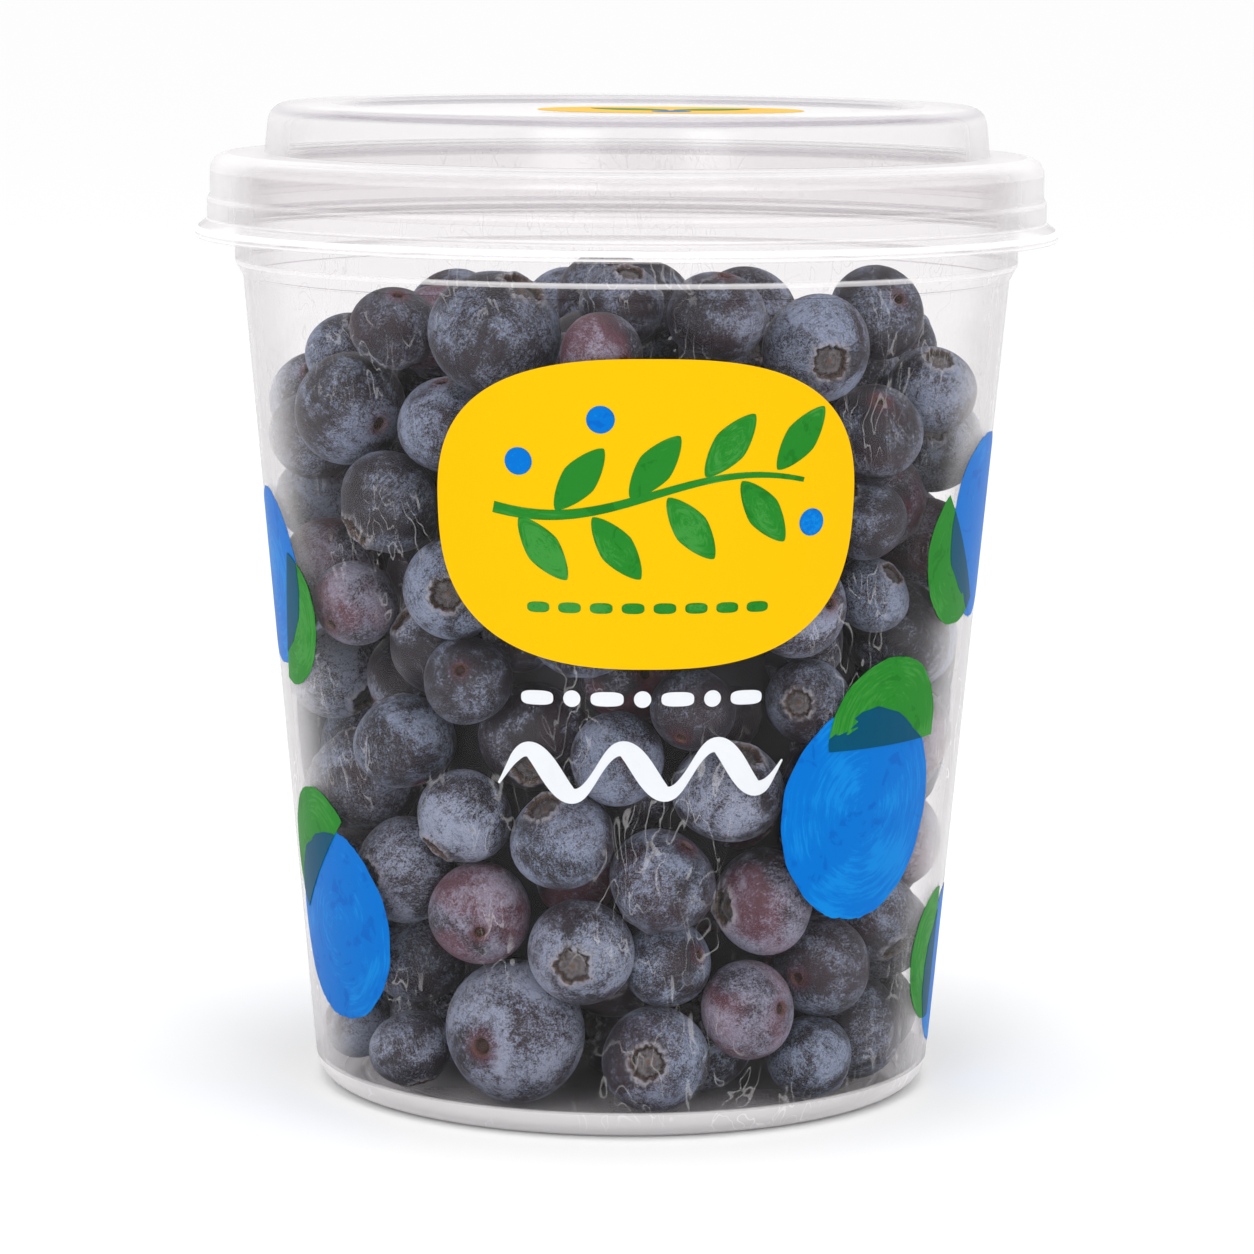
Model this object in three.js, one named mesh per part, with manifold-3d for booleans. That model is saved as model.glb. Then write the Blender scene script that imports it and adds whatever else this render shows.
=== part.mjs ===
// A punnet of blueberries: a round, tapered tub of clear plastic with a clear lid, filled with berries.
// Millimetres, +Z up. The origin is on the table, under the middle of the tub.

import * as THREE from "three";
import { mergeVertices } from "three/addons/utils/BufferGeometryUtils.js";
import Module from "manifold-3d";

const wasm = await Module();
wasm.setup();

// Driving dimensions
const SHEET = 0.6; // thickness of the formed plastic
const TURN_STEPS = 36; // flat sides in a full turn of the tub and the lid
const BEND_STEPS = 3; // flat sides in a rounded corner of their section
const TUB = {
  panelRadius: 33.8, // raised middle of the base
  panelHeight: 1.0,
  footInner: 35.9, // flat ring that the tub stands on
  footOuter: 38.7,
  cornerRadius: 3.9,
  wallLow: { radius: 42.7, height: 4.0 },
  wallHigh: { radius: 52.5, height: 111.6 },
  neckRadius: 53.6, // above the ledge that another tub would stop on when nested
  neckStart: 113.6,
  lipRadius: 56.1, // the rim turns outward and down again
  lipTop: 127.3,
  lipEnd: 121.4,
};
const LID = {
  panelRadius: 39.8, // sunk so that the foot of another tub sits in it
  panelTop: 133.8,
  ringInner: 40.6,
  ringTop: 135.0,
  edgeRadius: 2.7, // rounded edge of the raised middle
  ringOuter: 48.9,
  plateauFoot: 49.6,
  shoulderTop: 128.2,
  shoulderRadius: 2.3,
  skirtRadius: 57.0,
  beadTop: 122.6, // the skirt steps out here to snap over the tub's lip
  beadRadius: 57.4,
  skirtEnd: 119.2,
  flangeRadius: 59.0,
  flangeTop: 117.7,
  flangeEnd: 116.8,
};
const BERRY = {
  smallest: 5.6, // radii
  largest: 8.6,
  count: 250, // poured in, before those above the heap's surface are left off
  seed: 41,
  wallGap: 0.4,
  ringSides: 7, // flat sides round a berry, and from pole to pole
  poleSides: 4,
  leastShown: 4.6, // how far a berry stands out of the heap's plain inside
};
const HEAP = {
  column: 136.0, // height that the berries are poured through
  middle: 109.0, // height that a berry's centre may reach at the axis
  fall: 11.0, // how much lower that is at the wall
};
const SETTLING = {
  rounds: 60, // the pairs that may meet are listed anew in each
  steps: 12,
  sink: 0.15, // fall of each berry in a step, less in every round
  margin: 6.0,
};
const CORE = {
  wallDepth: 7.0, // how far the plain inside of the heap stays from the wall
  floorDepth: 6.0,
  topDepth: 4.6, // below the highest berry centres
  topRings: [0.75, 0.4, 0], // shares of the radius where the top's slope is measured
  turnSteps: 20,
};
const BAR = {
  radius: 2.2, // of the bar that joins a loose berry to the heap's inside
  sides: 5,
  inward: 0.75, // share of the berry's distance from the axis where the bar ends
  reach: 6.0, // how far below the berry it ends
  leastHold: 20.0, // volume that a berry shares with the heap's inside, if it isn't loose
};

// Berries that lie against the front of the wall, each with its turn round the tub from the front in
// degrees, the height of its centre, its radius and how far in from the wall it lies.
const FRONT_BERRIES = [
  [-26, 11.9, 9.8, 0],
  [-52, 7.9, 5.9, 0],
  [-84, 7.4, 5.3, 0],
  [7.5, 9.4, 7.3, 0],
  [-8.5, 24.2, 7.2, 0],
  [10.5, 22.0, 6.2, 4],
  [-31, 28.3, 7.1, 0],
  [-61, 19.7, 7.3, 4],
  [-76, 30.5, 6.0, 0],
  [-12, 39.4, 7.0, 0],
  [8.5, 33.8, 7.5, 0],
  [-1, 50.5, 6.3, 2],
  [21.5, 45.8, 7.4, 0],
  [43, 45.7, 5.9, 0],
  [37, 57.4, 5.8, 0],
  [-7.5, 68.6, 7.7, 0],
  [-30, 60.4, 6.0, 0],
  [-33, 72.4, 6.8, 0],
  [-60, 68.6, 5.9, 0],
  [-48.5, 83.0, 7.3, 0],
  [-37, 93.8, 6.8, 4],
  [-78, 90.0, 6.2, 0],
  [-78, 101.0, 6.3, 6],
  [-24, 106.2, 9.0, 0],
  [-50, 106.0, 6.0, 5],
  [-4, 104.0, 5.8, 0],
  [-1, 110.0, 5.7, 10],
  [16, 109.0, 6.6, 2],
  [35, 104.5, 7.3, 0],
  [60, 108.0, 6.6, 6],
  [50, 92.8, 6.6, 0],
  [70, 97.5, 6.1, 0],
  [48, 81.2, 5.6, 0],
  [55, 70.5, 5.4, 2],
];

// Working values
const MERGE_DISTANCE = 1e-4;
const HALF_SHEET = SHEET / 2;
const FLOOR_TOP = TUB.panelHeight + SHEET;
const WALL_SLOPE =
  (TUB.wallHigh.radius - TUB.wallLow.radius) / (TUB.wallHigh.height - TUB.wallLow.height);

// Inside radius of the tub's wall at a height.
function insideRadius(height) {
  return TUB.wallLow.radius - SHEET + WALL_SLOPE * (height - TUB.wallLow.height);
}

// Highest place for a berry's centre above a point of the floor.
function surfaceHeight(x, y) {
  const share = (x * x + y * y) / (insideRadius(HEAP.middle) * insideRadius(HEAP.middle));
  return HEAP.middle - HEAP.fall * share;
}

// Profiles

function point(x, y) {
  return new THREE.Vector2(x, y);
}

// Points of an arc about (cx, cy), from one angle to another, in degrees.
function arc(cx, cy, radius, from, to, steps) {
  const points = [];
  for (let i = 0; i <= steps; i++) {
    const angle = THREE.MathUtils.degToRad(from + ((to - from) * i) / steps);
    points.push(point(cx + radius * Math.cos(angle), cy + radius * Math.sin(angle)));
  }
  return points;
}

// A point moved sideways from a line of points, square to the line on both sides of it.
function sidestep(line, i, distance) {
  const here = line[i];
  const before = line[Math.max(i - 1, 0)];
  const after = line[Math.min(i + 1, line.length - 1)];
  const arriving = i > 0 ? here.clone().sub(before).normalize() : after.clone().sub(here).normalize();
  const leaving = i < line.length - 1 ? after.clone().sub(here).normalize() : arriving;
  const normal = new THREE.Vector2(-arriving.y - leaving.y, arriving.x + leaving.x).normalize();
  const mitre = distance / (normal.x * -arriving.y + normal.y * arriving.x);
  return here.clone().addScaledVector(normal, mitre);
}

// Closed outline of a sheet that follows a line of points, half its thickness to each side.
function sheetOutline(line) {
  const right = line.map((_, i) => sidestep(line, i, -HALF_SHEET));
  const left = line.map((_, i) => sidestep(line, i, HALF_SHEET));
  return [...right, ...left.reverse()];
}

// An outline that starts and ends on the axis, turned about it, with +Z up.
function turned(outline, steps) {
  const geometry = new THREE.LatheGeometry(outline, steps);
  geometry.rotateX(Math.PI / 2);
  return geometry;
}

// Middle line of the tub's sheet, from the axis to the edge of the lip.
function tubLine() {
  const panel = TUB.panelHeight + HALF_SHEET;
  const corner = TUB.cornerRadius - HALF_SHEET;
  const lipInner = TUB.neckRadius - HALF_SHEET;
  const lipOuter = TUB.lipRadius - HALF_SHEET;
  const curl = (lipOuter - lipInner) / 2;
  return [
    point(0, panel),
    point(TUB.panelRadius, panel),
    point(TUB.footInner, HALF_SHEET),
    ...arc(TUB.footOuter, HALF_SHEET + corner, corner, -90, -6, BEND_STEPS),
    point(TUB.wallHigh.radius - HALF_SHEET, TUB.wallHigh.height),
    point(lipInner, TUB.neckStart),
    ...arc(lipInner + curl, TUB.lipTop - HALF_SHEET - curl, curl, 180, 0, BEND_STEPS),
    point(lipOuter, TUB.lipEnd),
  ];
}

// Middle line of the lid's sheet, from the axis to the edge of the flange.
function lidLine() {
  const ringTop = LID.ringTop - HALF_SHEET;
  const shoulder = LID.shoulderTop - HALF_SHEET;
  const edge = LID.edgeRadius - HALF_SHEET;
  const bend = LID.shoulderRadius - HALF_SHEET;
  const skirt = LID.skirtRadius - HALF_SHEET;
  const bead = LID.beadRadius - HALF_SHEET;
  const flange = LID.flangeRadius - HALF_SHEET;
  return [
    point(0, LID.panelTop - HALF_SHEET),
    point(LID.panelRadius, LID.panelTop - HALF_SHEET),
    point(LID.ringInner, ringTop),
    ...arc(LID.ringOuter - LID.edgeRadius, ringTop - edge, edge, 90, 4, BEND_STEPS),
    point(LID.plateauFoot - HALF_SHEET, shoulder + SHEET),
    point(LID.plateauFoot + HALF_SHEET, shoulder),
    ...arc(skirt - bend, shoulder - bend, bend, 90, 0, BEND_STEPS),
    point(skirt, LID.beadTop),
    point(bead, LID.beadTop - SHEET),
    point(bead, LID.skirtEnd),
    point(bead + SHEET, (LID.skirtEnd + LID.flangeTop) / 2),
    point(flange, LID.flangeTop),
    point(flange, LID.flangeEnd),
  ];
}

// Berries

// A seeded draw between 0 and 1, the same in any language that has 32-bit whole numbers.
function drawFrom(seed) {
  let state = seed >>> 0;
  return () => {
    state = (Math.imul(state, 1664525) + 1013904223) >>> 0;
    return state / 4294967296;
  };
}

// The berries that lie against the front of the wall.
function frontBerries() {
  return FRONT_BERRIES.map(([turn, height, radius, inset]) => {
    const angle = THREE.MathUtils.degToRad(turn);
    const out = insideRadius(height) - BERRY.wallGap - radius - inset;
    return { x: out * Math.sin(angle), y: -out * Math.cos(angle), z: height, radius, placed: true };
  });
}

// Berries dropped at random in a column above the tub's floor, the first drawn lowest.
function pouredBerries() {
  const draw = drawFrom(BERRY.seed);
  const berries = [];
  while (berries.length < BERRY.count) {
    const across = draw() * 2 - 1;
    const along = draw() * 2 - 1;
    const size = (draw() + draw() + draw()) / 3;
    if (across * across + along * along > 1) continue;
    const radius = BERRY.smallest + (BERRY.largest - BERRY.smallest) * size;
    const height = FLOOR_TOP + radius + (berries.length / BERRY.count) * HEAP.column;
    const reach = insideRadius(height) - radius;
    berries.push({ x: across * reach, y: along * reach, z: height, radius, placed: false });
  }
  return berries;
}

// Moves a berry along a line, unless its place is given.
function nudge(berry, dx, dy, dz, share) {
  if (berry.placed) return;
  berry.x += dx * share;
  berry.y += dy * share;
  berry.z += dz * share;
}

// Moves two berries apart, half of their overlap each, or all of it where one has its place.
function separate(a, b) {
  const dx = b.x - a.x;
  const dy = b.y - a.y;
  const dz = b.z - a.z;
  const away = Math.sqrt(dx * dx + dy * dy + dz * dz);
  const touching = a.radius + b.radius;
  if (away >= touching || away === 0) return;
  const sharing = a.placed || b.placed ? 1 : 2;
  const push = (touching - away) / sharing / away;
  nudge(a, dx, dy, dz, -push);
  nudge(b, dx, dy, dz, push);
}

// Keeps a berry above the floor and inside the wall.
function confine(berry) {
  if (berry.placed) return;
  const lowest = FLOOR_TOP + BERRY.wallGap + berry.radius;
  if (berry.z < lowest) berry.z = lowest;
  const out = Math.sqrt(berry.x * berry.x + berry.y * berry.y);
  const most = insideRadius(berry.z) - BERRY.wallGap - berry.radius;
  if (out <= most) return;
  berry.x *= most / out;
  berry.y *= most / out;
}

// Pairs of berries near enough to meet before the list is made again.
function neighbours(berries, margin) {
  const pairs = [];
  for (let i = 0; i < berries.length; i++) {
    for (let j = i + 1; j < berries.length; j++) {
      const dx = berries[i].x - berries[j].x;
      const dy = berries[i].y - berries[j].y;
      const dz = berries[i].z - berries[j].z;
      const reach = berries[i].radius + berries[j].radius + margin;
      if (dx * dx + dy * dy + dz * dz < reach * reach) pairs.push([berries[i], berries[j]]);
    }
  }
  return pairs;
}

// Lets the berries sink and push each other aside until they lie as they would in the tub.
function settledBerries() {
  const berries = [...frontBerries(), ...pouredBerries()];
  for (let round = 0; round < SETTLING.rounds; round++) {
    const sink = SETTLING.sink * (1 - round / SETTLING.rounds);
    const pairs = neighbours(berries, SETTLING.margin);
    for (let step = 0; step < SETTLING.steps; step++) {
      for (const berry of berries) nudge(berry, 0, 0, -1, sink);
      for (const [a, b] of pairs) separate(a, b);
      for (const berry of berries) confine(berry);
    }
  }
  return berries.filter((berry) => berry.placed || berry.z < surfaceHeight(berry.x, berry.y));
}

// Outline of the heap's plain inside, from the floor up to the surface's level.
function coreOutline() {
  const low = FLOOR_TOP + CORE.floorDepth;
  const outline = [point(0, low), point(insideRadius(low) - CORE.wallDepth, low)];
  const edge = HEAP.middle - HEAP.fall - CORE.topDepth;
  outline.push(point(insideRadius(edge) - CORE.wallDepth, edge));
  for (const share of CORE.topRings) {
    const radius = share * insideRadius(HEAP.middle);
    outline.push(point(radius, HEAP.middle - HEAP.fall * share * share - CORE.topDepth));
  }
  return outline;
}

// A closed three.js geometry as a solid that can be joined and cut.
function solidOf(geometry) {
  const bare = new THREE.BufferGeometry().setAttribute("position", geometry.getAttribute("position"));
  if (geometry.index) bare.setIndex(geometry.index);
  const merged = mergeVertices(bare, MERGE_DISTANCE);
  const corners = merged.index.array;
  const kept = [];
  for (let i = 0; i < corners.length; i += 3) {
    const [a, b, c] = corners.slice(i, i + 3);
    if (a !== b && b !== c && c !== a) kept.push(a, b, c);
  }
  const mesh = new wasm.Mesh({
    numProp: 3,
    vertProperties: merged.attributes.position.array,
    triVerts: new Uint32Array(kept),
  });
  return new wasm.Manifold(mesh);
}

// The largest body of a solid, as a three.js geometry. Loose scraps are dropped.
function geometryOf(solid) {
  const bodies = solid.decompose().sort((a, b) => b.volume() - a.volume());
  const mesh = bodies[0].getMesh();
  const geometry = new THREE.BufferGeometry();
  const positions = new Float32Array(mesh.vertProperties);
  geometry.setAttribute("position", new THREE.BufferAttribute(positions, 3));
  geometry.setIndex(new THREE.BufferAttribute(new Uint32Array(mesh.triVerts), 1));
  geometry.computeVertexNormals();
  return geometry;
}

// True where a berry stands clearly out of the heap's plain inside.
function shows(berry) {
  const out = Math.sqrt(berry.x * berry.x + berry.y * berry.y);
  const beyondWall = out + berry.radius - (insideRadius(berry.z) - CORE.wallDepth);
  const beyondTop = berry.z + berry.radius - (surfaceHeight(berry.x, berry.y) - CORE.topDepth);
  const beyondFloor = FLOOR_TOP + CORE.floorDepth - (berry.z - berry.radius);
  return Math.max(beyondWall, beyondTop, beyondFloor) > BERRY.leastShown;
}

// A plain ball for a berry, turned another way for each.
function ballOf(berry) {
  const ball = new THREE.SphereGeometry(berry.radius, BERRY.ringSides, BERRY.poleSides);
  ball.rotateX(berry.x);
  ball.rotateZ(berry.y);
  ball.translate(berry.x, berry.y, berry.z);
  return solidOf(ball);
}

// A bar from a berry's middle down into the heap's inside, in place of the berries under it.
function barUnder(berry) {
  const from = new THREE.Vector3(berry.x, berry.y, berry.z);
  const depth = berry.z - berry.radius - BAR.reach;
  const to = new THREE.Vector3(berry.x * BAR.inward, berry.y * BAR.inward, depth);
  const bar = new THREE.CylinderGeometry(BAR.radius, BAR.radius, from.distanceTo(to), BAR.sides);
  bar.rotateX(Math.PI / 2);
  const frame = new THREE.Object3D();
  frame.position.lerpVectors(from, to, 0.5);
  frame.lookAt(to);
  frame.updateMatrix();
  bar.applyMatrix4(frame.matrix);
  return solidOf(bar);
}

// The heap: a plain core with every berry that shows fused to it.
function heapGeometry() {
  const core = solidOf(turned(coreOutline(), CORE.turnSteps));
  let heap = core;
  for (const berry of settledBerries().filter(shows)) {
    const ball = ballOf(berry);
    heap = heap.add(ball);
    if (core.intersect(ball).volume() < BAR.leastHold) heap = heap.add(barUnder(berry));
  }
  return geometryOf(heap);
}

// Materials

const clearPlastic = new THREE.MeshStandardMaterial({
  color: 0xeceaec,
  roughness: 0.08,
  metalness: 0,
  transparent: true,
  opacity: 0.25,
});
const berrySkin = new THREE.MeshStandardMaterial({ color: 0x3f4456, roughness: 0.62, metalness: 0 });

// The scene graph

function named(name, geometry, material) {
  const mesh = new THREE.Mesh(geometry, material);
  mesh.name = name;
  return mesh;
}

const punnet = new THREE.Group();
punnet.add(named("tub", turned(sheetOutline(tubLine()), TURN_STEPS), clearPlastic));
punnet.add(named("lid", turned(sheetOutline(lidLine()), TURN_STEPS), clearPlastic));
punnet.add(named("blueberry_heap", heapGeometry(), berrySkin));

export default punnet;
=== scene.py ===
"""A punnet of blueberries: a clear tub with a printed wall, a clear stepped lid and the berries inside.

Lengths are in metres and +Z is up. The origin is on the table, under the middle of the tub, and the
printed front looks towards -Y.
"""

import logging
import math
from collections.abc import Callable, Iterable, Sequence
from dataclasses import dataclass, field, replace
from enum import Enum

import bpy
import numpy as np
from mathutils import Matrix, Vector

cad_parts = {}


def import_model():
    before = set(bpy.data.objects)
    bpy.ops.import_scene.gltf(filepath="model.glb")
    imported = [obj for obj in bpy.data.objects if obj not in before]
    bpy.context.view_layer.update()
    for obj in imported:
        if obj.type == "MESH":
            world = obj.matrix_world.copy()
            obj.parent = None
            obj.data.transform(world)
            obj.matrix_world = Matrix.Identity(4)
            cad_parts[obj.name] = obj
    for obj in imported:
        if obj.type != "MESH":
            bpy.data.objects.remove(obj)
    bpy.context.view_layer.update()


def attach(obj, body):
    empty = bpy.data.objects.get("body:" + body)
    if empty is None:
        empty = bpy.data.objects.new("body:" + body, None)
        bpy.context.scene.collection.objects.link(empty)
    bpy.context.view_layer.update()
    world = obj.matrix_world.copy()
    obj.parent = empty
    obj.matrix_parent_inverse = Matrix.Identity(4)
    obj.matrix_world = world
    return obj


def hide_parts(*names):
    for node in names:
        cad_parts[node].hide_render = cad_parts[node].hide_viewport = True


LOG = logging.getLogger("punnet")

MM = 0.001
BODY = "root"

Colour = tuple[float, float, float]
Point2 = tuple[float, float]
Point3 = tuple[float, float, float]
Placing = Callable[[float, float, float], Point3]


# Shader maths


class Signal:
    """A number that changes over a surface, held as the output socket of a node."""

    def __init__(self, graph: "Graph", socket: bpy.types.NodeSocket) -> None:
        """Wraps a socket of a graph."""
        self.graph = graph
        self.socket = socket

    def _math(self, operation: str, *terms: "Signal | float") -> "Signal":
        """Adds a Math node for an operation on the terms, in their order."""
        made = self.graph.node("ShaderNodeMath", {"operation": operation}, dict(enumerate(terms)))
        return Signal(self.graph, made.outputs[0])

    def __add__(self, other: "Signal | float") -> "Signal":
        """self + other."""
        return self._math("ADD", self, other)

    __radd__ = __add__

    def __sub__(self, other: "Signal | float") -> "Signal":
        """self - other."""
        return self._math("SUBTRACT", self, other)

    def __rsub__(self, other: "Signal | float") -> "Signal":
        """other - self."""
        return self._math("SUBTRACT", other, self)

    def __mul__(self, other: "Signal | float") -> "Signal":
        """self * other."""
        return self._math("MULTIPLY", self, other)

    __rmul__ = __mul__

    def smallest(self, other: "Signal | float") -> "Signal":
        """The smaller of the two."""
        return self._math("MINIMUM", self, other)

    def largest(self, other: "Signal | float") -> "Signal":
        """The larger of the two."""
        return self._math("MAXIMUM", self, other)

    def step(self, low: float, high: float) -> "Signal":
        """0 below low, 1 above high, and a smooth rise between. Falls instead where low > high.

        Args:
            low: Where the rise starts.
            high: Where it ends.

        Returns:
            The smoothed signal, between 0 and 1.
        """
        falling = low > high
        ends = (high, low) if falling else (low, high)
        made = self.graph.node(
            "ShaderNodeMapRange",
            {"interpolation_type": "SMOOTHSTEP"},
            {"Value": self, "From Min": ends[0], "From Max": ends[1]},
        )
        smooth = Signal(self.graph, made.outputs[0])
        return 1.0 - smooth if falling else smooth


class Graph:
    """The node tree of one material, filled from the output back."""

    def __init__(self, name: str) -> None:
        """Makes an empty material of that name."""
        self.material = bpy.data.materials.new(name)
        self.material.use_nodes = True
        self.tree = self.material.node_tree
        self.tree.nodes.clear()

    def node(self, kind: str, settings: dict | None = None, values: dict | None = None) -> bpy.types.Node:
        """Adds a node.

        Args:
            kind: The node's type, such as ShaderNodeMath.
            settings: Its own properties, set before its inputs.
            values: Values, signals or sockets for its inputs, by name or by number.

        Returns:
            The new node.
        """
        made = self.tree.nodes.new(kind)
        for name, value in (settings or {}).items():
            setattr(made, name, value)
        for key, value in (values or {}).items():
            self._feed(made.inputs[key], value)
        return made

    def _feed(self, target: bpy.types.NodeSocket, value: object) -> None:
        """Links a signal or a socket to an input, or sets the input to a plain value."""
        if isinstance(value, Signal):
            value = value.socket
        if isinstance(value, bpy.types.NodeSocket):
            self.tree.links.new(value, target)
            return
        if isinstance(value, tuple) and len(value) == 3 and target.type == "RGBA":
            value = (*value, 1.0)
        target.default_value = value

    def place(self) -> bpy.types.NodeSocket:
        """The point on the surface, in millimetres."""
        spot = self.node("ShaderNodeTexCoord").outputs["Object"]
        made = self.node("ShaderNodeVectorMath", {"operation": "SCALE"}, {0: spot, "Scale": 1.0 / MM})
        return made.outputs[0]

    def stretched(self, vector: bpy.types.NodeSocket, by: Point3) -> bpy.types.NodeSocket:
        """A vector stretched by another number on each axis."""
        made = self.node("ShaderNodeVectorMath", {"operation": "MULTIPLY"}, {0: vector, 1: by})
        return made.outputs[0]

    def parts(self, vector: bpy.types.NodeSocket) -> tuple[Signal, Signal, Signal]:
        """The three numbers of a vector."""
        made = self.node("ShaderNodeSeparateXYZ", None, {0: vector})
        return tuple(Signal(self, out) for out in made.outputs)

    def attribute(self, name: str) -> bpy.types.NodeSocket:
        """The vector that the mesh holds under a name."""
        return self.node("ShaderNodeAttribute", {"attribute_name": name}).outputs["Vector"]

    def noise(
        self,
        vector: bpy.types.NodeSocket,
        scale: float,
        detail: float = 2.0,
        roughness: float = 0.5,
        distortion: float = 0.0,
    ) -> Signal:
        """Soft random variation about 0.5.

        Args:
            vector: Where it is looked up.
            scale: How many features fit in one unit of that vector.
            detail: How many finer layers are added.
            roughness: How strong those layers are.
            distortion: How far the pattern is pulled out of shape.

        Returns:
            The variation, mostly between 0.3 and 0.7.
        """
        values = {
            "Vector": vector,
            "Scale": scale,
            "Detail": detail,
            "Roughness": roughness,
            "Distortion": distortion,
        }
        return Signal(self, self.node("ShaderNodeTexNoise", None, values).outputs[0])

    def facing(self) -> Signal:
        """0 where a surface is seen straight on and 1 where it is seen edge on."""
        made = self.node("ShaderNodeLayerWeight", None, {"Blend": 0.5})
        return Signal(self, made.outputs["Facing"])

    def blend(self, share: Signal, first: object, second: object) -> bpy.types.NodeSocket:
        """A colour between two colours.

        Args:
            share: How much of the second colour there is.
            first: A colour or a socket.
            second: A colour or a socket.

        Returns:
            The mixed colour's socket.
        """
        settings = {"data_type": "RGBA", "clamp_factor": True}
        made = self.node("ShaderNodeMix", settings, {0: share, 6: first, 7: second})
        return made.outputs[2]

    def layered(self, under: object, layers: Iterable[tuple[Signal, object]]) -> bpy.types.NodeSocket:
        """A colour with others laid over it, each with its share, the last one on top."""
        for share, over in layers:
            under = self.blend(share, under, over)
        return under

    def bump(self, height: Signal, strength: float, distance: float) -> bpy.types.NodeSocket:
        """A normal that leans as if the surface had that height.

        Args:
            height: The height, between 0 and 1.
            strength: How much of the lean is kept.
            distance: How high 1 is, in metres.

        Returns:
            The normal's socket.
        """
        values = {"Strength": strength, "Distance": distance, "Height": height}
        return self.node("ShaderNodeBump", None, values).outputs[0]

    def surface(self, values: dict) -> bpy.types.NodeSocket:
        """A Principled shader with those inputs."""
        return self.node("ShaderNodeBsdfPrincipled", None, values).outputs[0]

    def mixed(
        self, share: Signal | float, first: bpy.types.NodeSocket, second: bpy.types.NodeSocket
    ) -> bpy.types.NodeSocket:
        """A mix of two shaders, with that share of the second."""
        return self.node("ShaderNodeMixShader", None, {0: share, 1: first, 2: second}).outputs[0]

    def finish(self, shader: bpy.types.NodeSocket) -> bpy.types.Material:
        """Ends the tree with a shader and returns the material."""
        self.node("ShaderNodeOutputMaterial", None, {"Surface": shader})
        return self.material


# Finishes


@dataclass(frozen=True)
class ClearSheet:
    """Thin clear plastic: nearly invisible from the front, pale towards its edges.

    The pale edges are partly the plastic's own cloudiness and partly a painted reflection of the bright
    room, laid on as a lit pale layer that rises as the sheet turns away.

    edge_haze_and_glare_turned says how far the sheet is turned away where the haze starts and where it is
    full, scratch_run how close the scratches lie on each axis, scratch_width how wide they are, and
    worn_patches where the noise of the worn patches starts and ends to rise.
    """

    name: str
    tint: Colour = (0.977, 0.970, 0.973)
    # Colour of the painted dark lines at the bends, for what a rounded bend reflects and refracts.
    painted_line_tint: Colour = (0.58, 0.55, 0.61)
    # The pale layer's colour: the plastic's cloudiness, a painted edge reflection and painted bands at the
    # bends.
    haze_and_glare: Colour = (0.88, 0.86, 0.87)
    mirror_front: float = 0.006
    mirror_edge: float = 0.5
    haze_front: float = 0.002
    # How strong the painted edge reflection and the cloudiness are where the sheet is seen edge on.
    edge_haze_and_glare: float = 0.28
    edge_haze_and_glare_turned: Point2 = (0.50, 0.82)
    gloss_roughness: float = 0.05
    worn: bool = True
    scratch_share: float = 0.16
    scratch_run: Point3 = (0.30, 0.30, 0.12)
    scratch_width: float = 0.0003
    worn_patches: Point2 = (0.48, 0.60)

    def material(self) -> bpy.types.Material:
        """Builds the material, which reads the corners of the sheet from the mesh."""
        graph = Graph(self.name)
        facing = graph.facing()
        square = facing * facing
        # own_bend holds each bend's painted dark line and painted pale band; the dark line tints what
        # shows through.
        dark, painted_pale_band, _ = graph.parts(graph.attribute("own_bend"))
        tint = graph.blend(dark, self.tint, self.painted_line_tint)
        clear = graph.node("ShaderNodeBsdfTransparent", None, {"Color": tint}).outputs[0]
        gloss = graph.node("ShaderNodeBsdfGlossy", None, {"Roughness": self.gloss_roughness}).outputs[0]
        # One pale lit layer carries the cloudiness, the painted edge reflection and the painted bands of
        # the bends.
        milky_and_glare_shader = graph.node("ShaderNodeBsdfDiffuse", None, {"Color": self.haze_and_glare}).outputs[0]
        mirror = square * square * facing * self.mirror_edge + self.mirror_front
        # Pale share: painted reflection rising towards the edges, painted bands at the bends, worn
        # scratches and a little even cloudiness.
        haze_and_glare = facing.step(*self.edge_haze_and_glare_turned) * self.edge_haze_and_glare + painted_pale_band
        if self.worn:
            haze_and_glare = haze_and_glare + self._scratches(graph)
        haze_and_glare = haze_and_glare + self.haze_front
        return graph.finish(graph.mixed(haze_and_glare, graph.mixed(mirror, clear, gloss), milky_and_glare_shader))

    def _scratches(self, graph: Graph) -> Signal:
        """Thin scratches along the contour lines of a noise, in worn patches only."""
        spot = graph.place()
        hair = graph.noise(graph.stretched(spot, self.scratch_run), 1.0, 1.0, 0.5, 1.2) - 0.5
        worn = graph.noise(spot, 0.07, 1.0).step(*self.worn_patches)
        return (hair * hair).step(self.scratch_width, 0.0) * worn * self.scratch_share


@dataclass(frozen=True)
class EndTints:
    """The colours at the two ends of a berry, one of them a painted shade just inside the crown's rim."""

    floor: Colour = (0.055, 0.046, 0.045)
    floor_light: Colour = (0.125, 0.112, 0.115)
    painted_hollow_shade: Colour = (0.022, 0.015, 0.014)
    # Painted shade just inside the crown's rim, where the rim shades the basin.
    groove: Colour = (0.045, 0.034, 0.032)
    stub: Colour = (0.13, 0.060, 0.025)
    rim: Colour = (0.31, 0.30, 0.325)
    edge: Colour = (0.085, 0.045, 0.026)
    scar_blush: Colour = (0.105, 0.022, 0.032)
    scar_pit: Colour = (0.035, 0.016, 0.010)
    scar_collar: Colour = (0.13, 0.05, 0.025)


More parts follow.
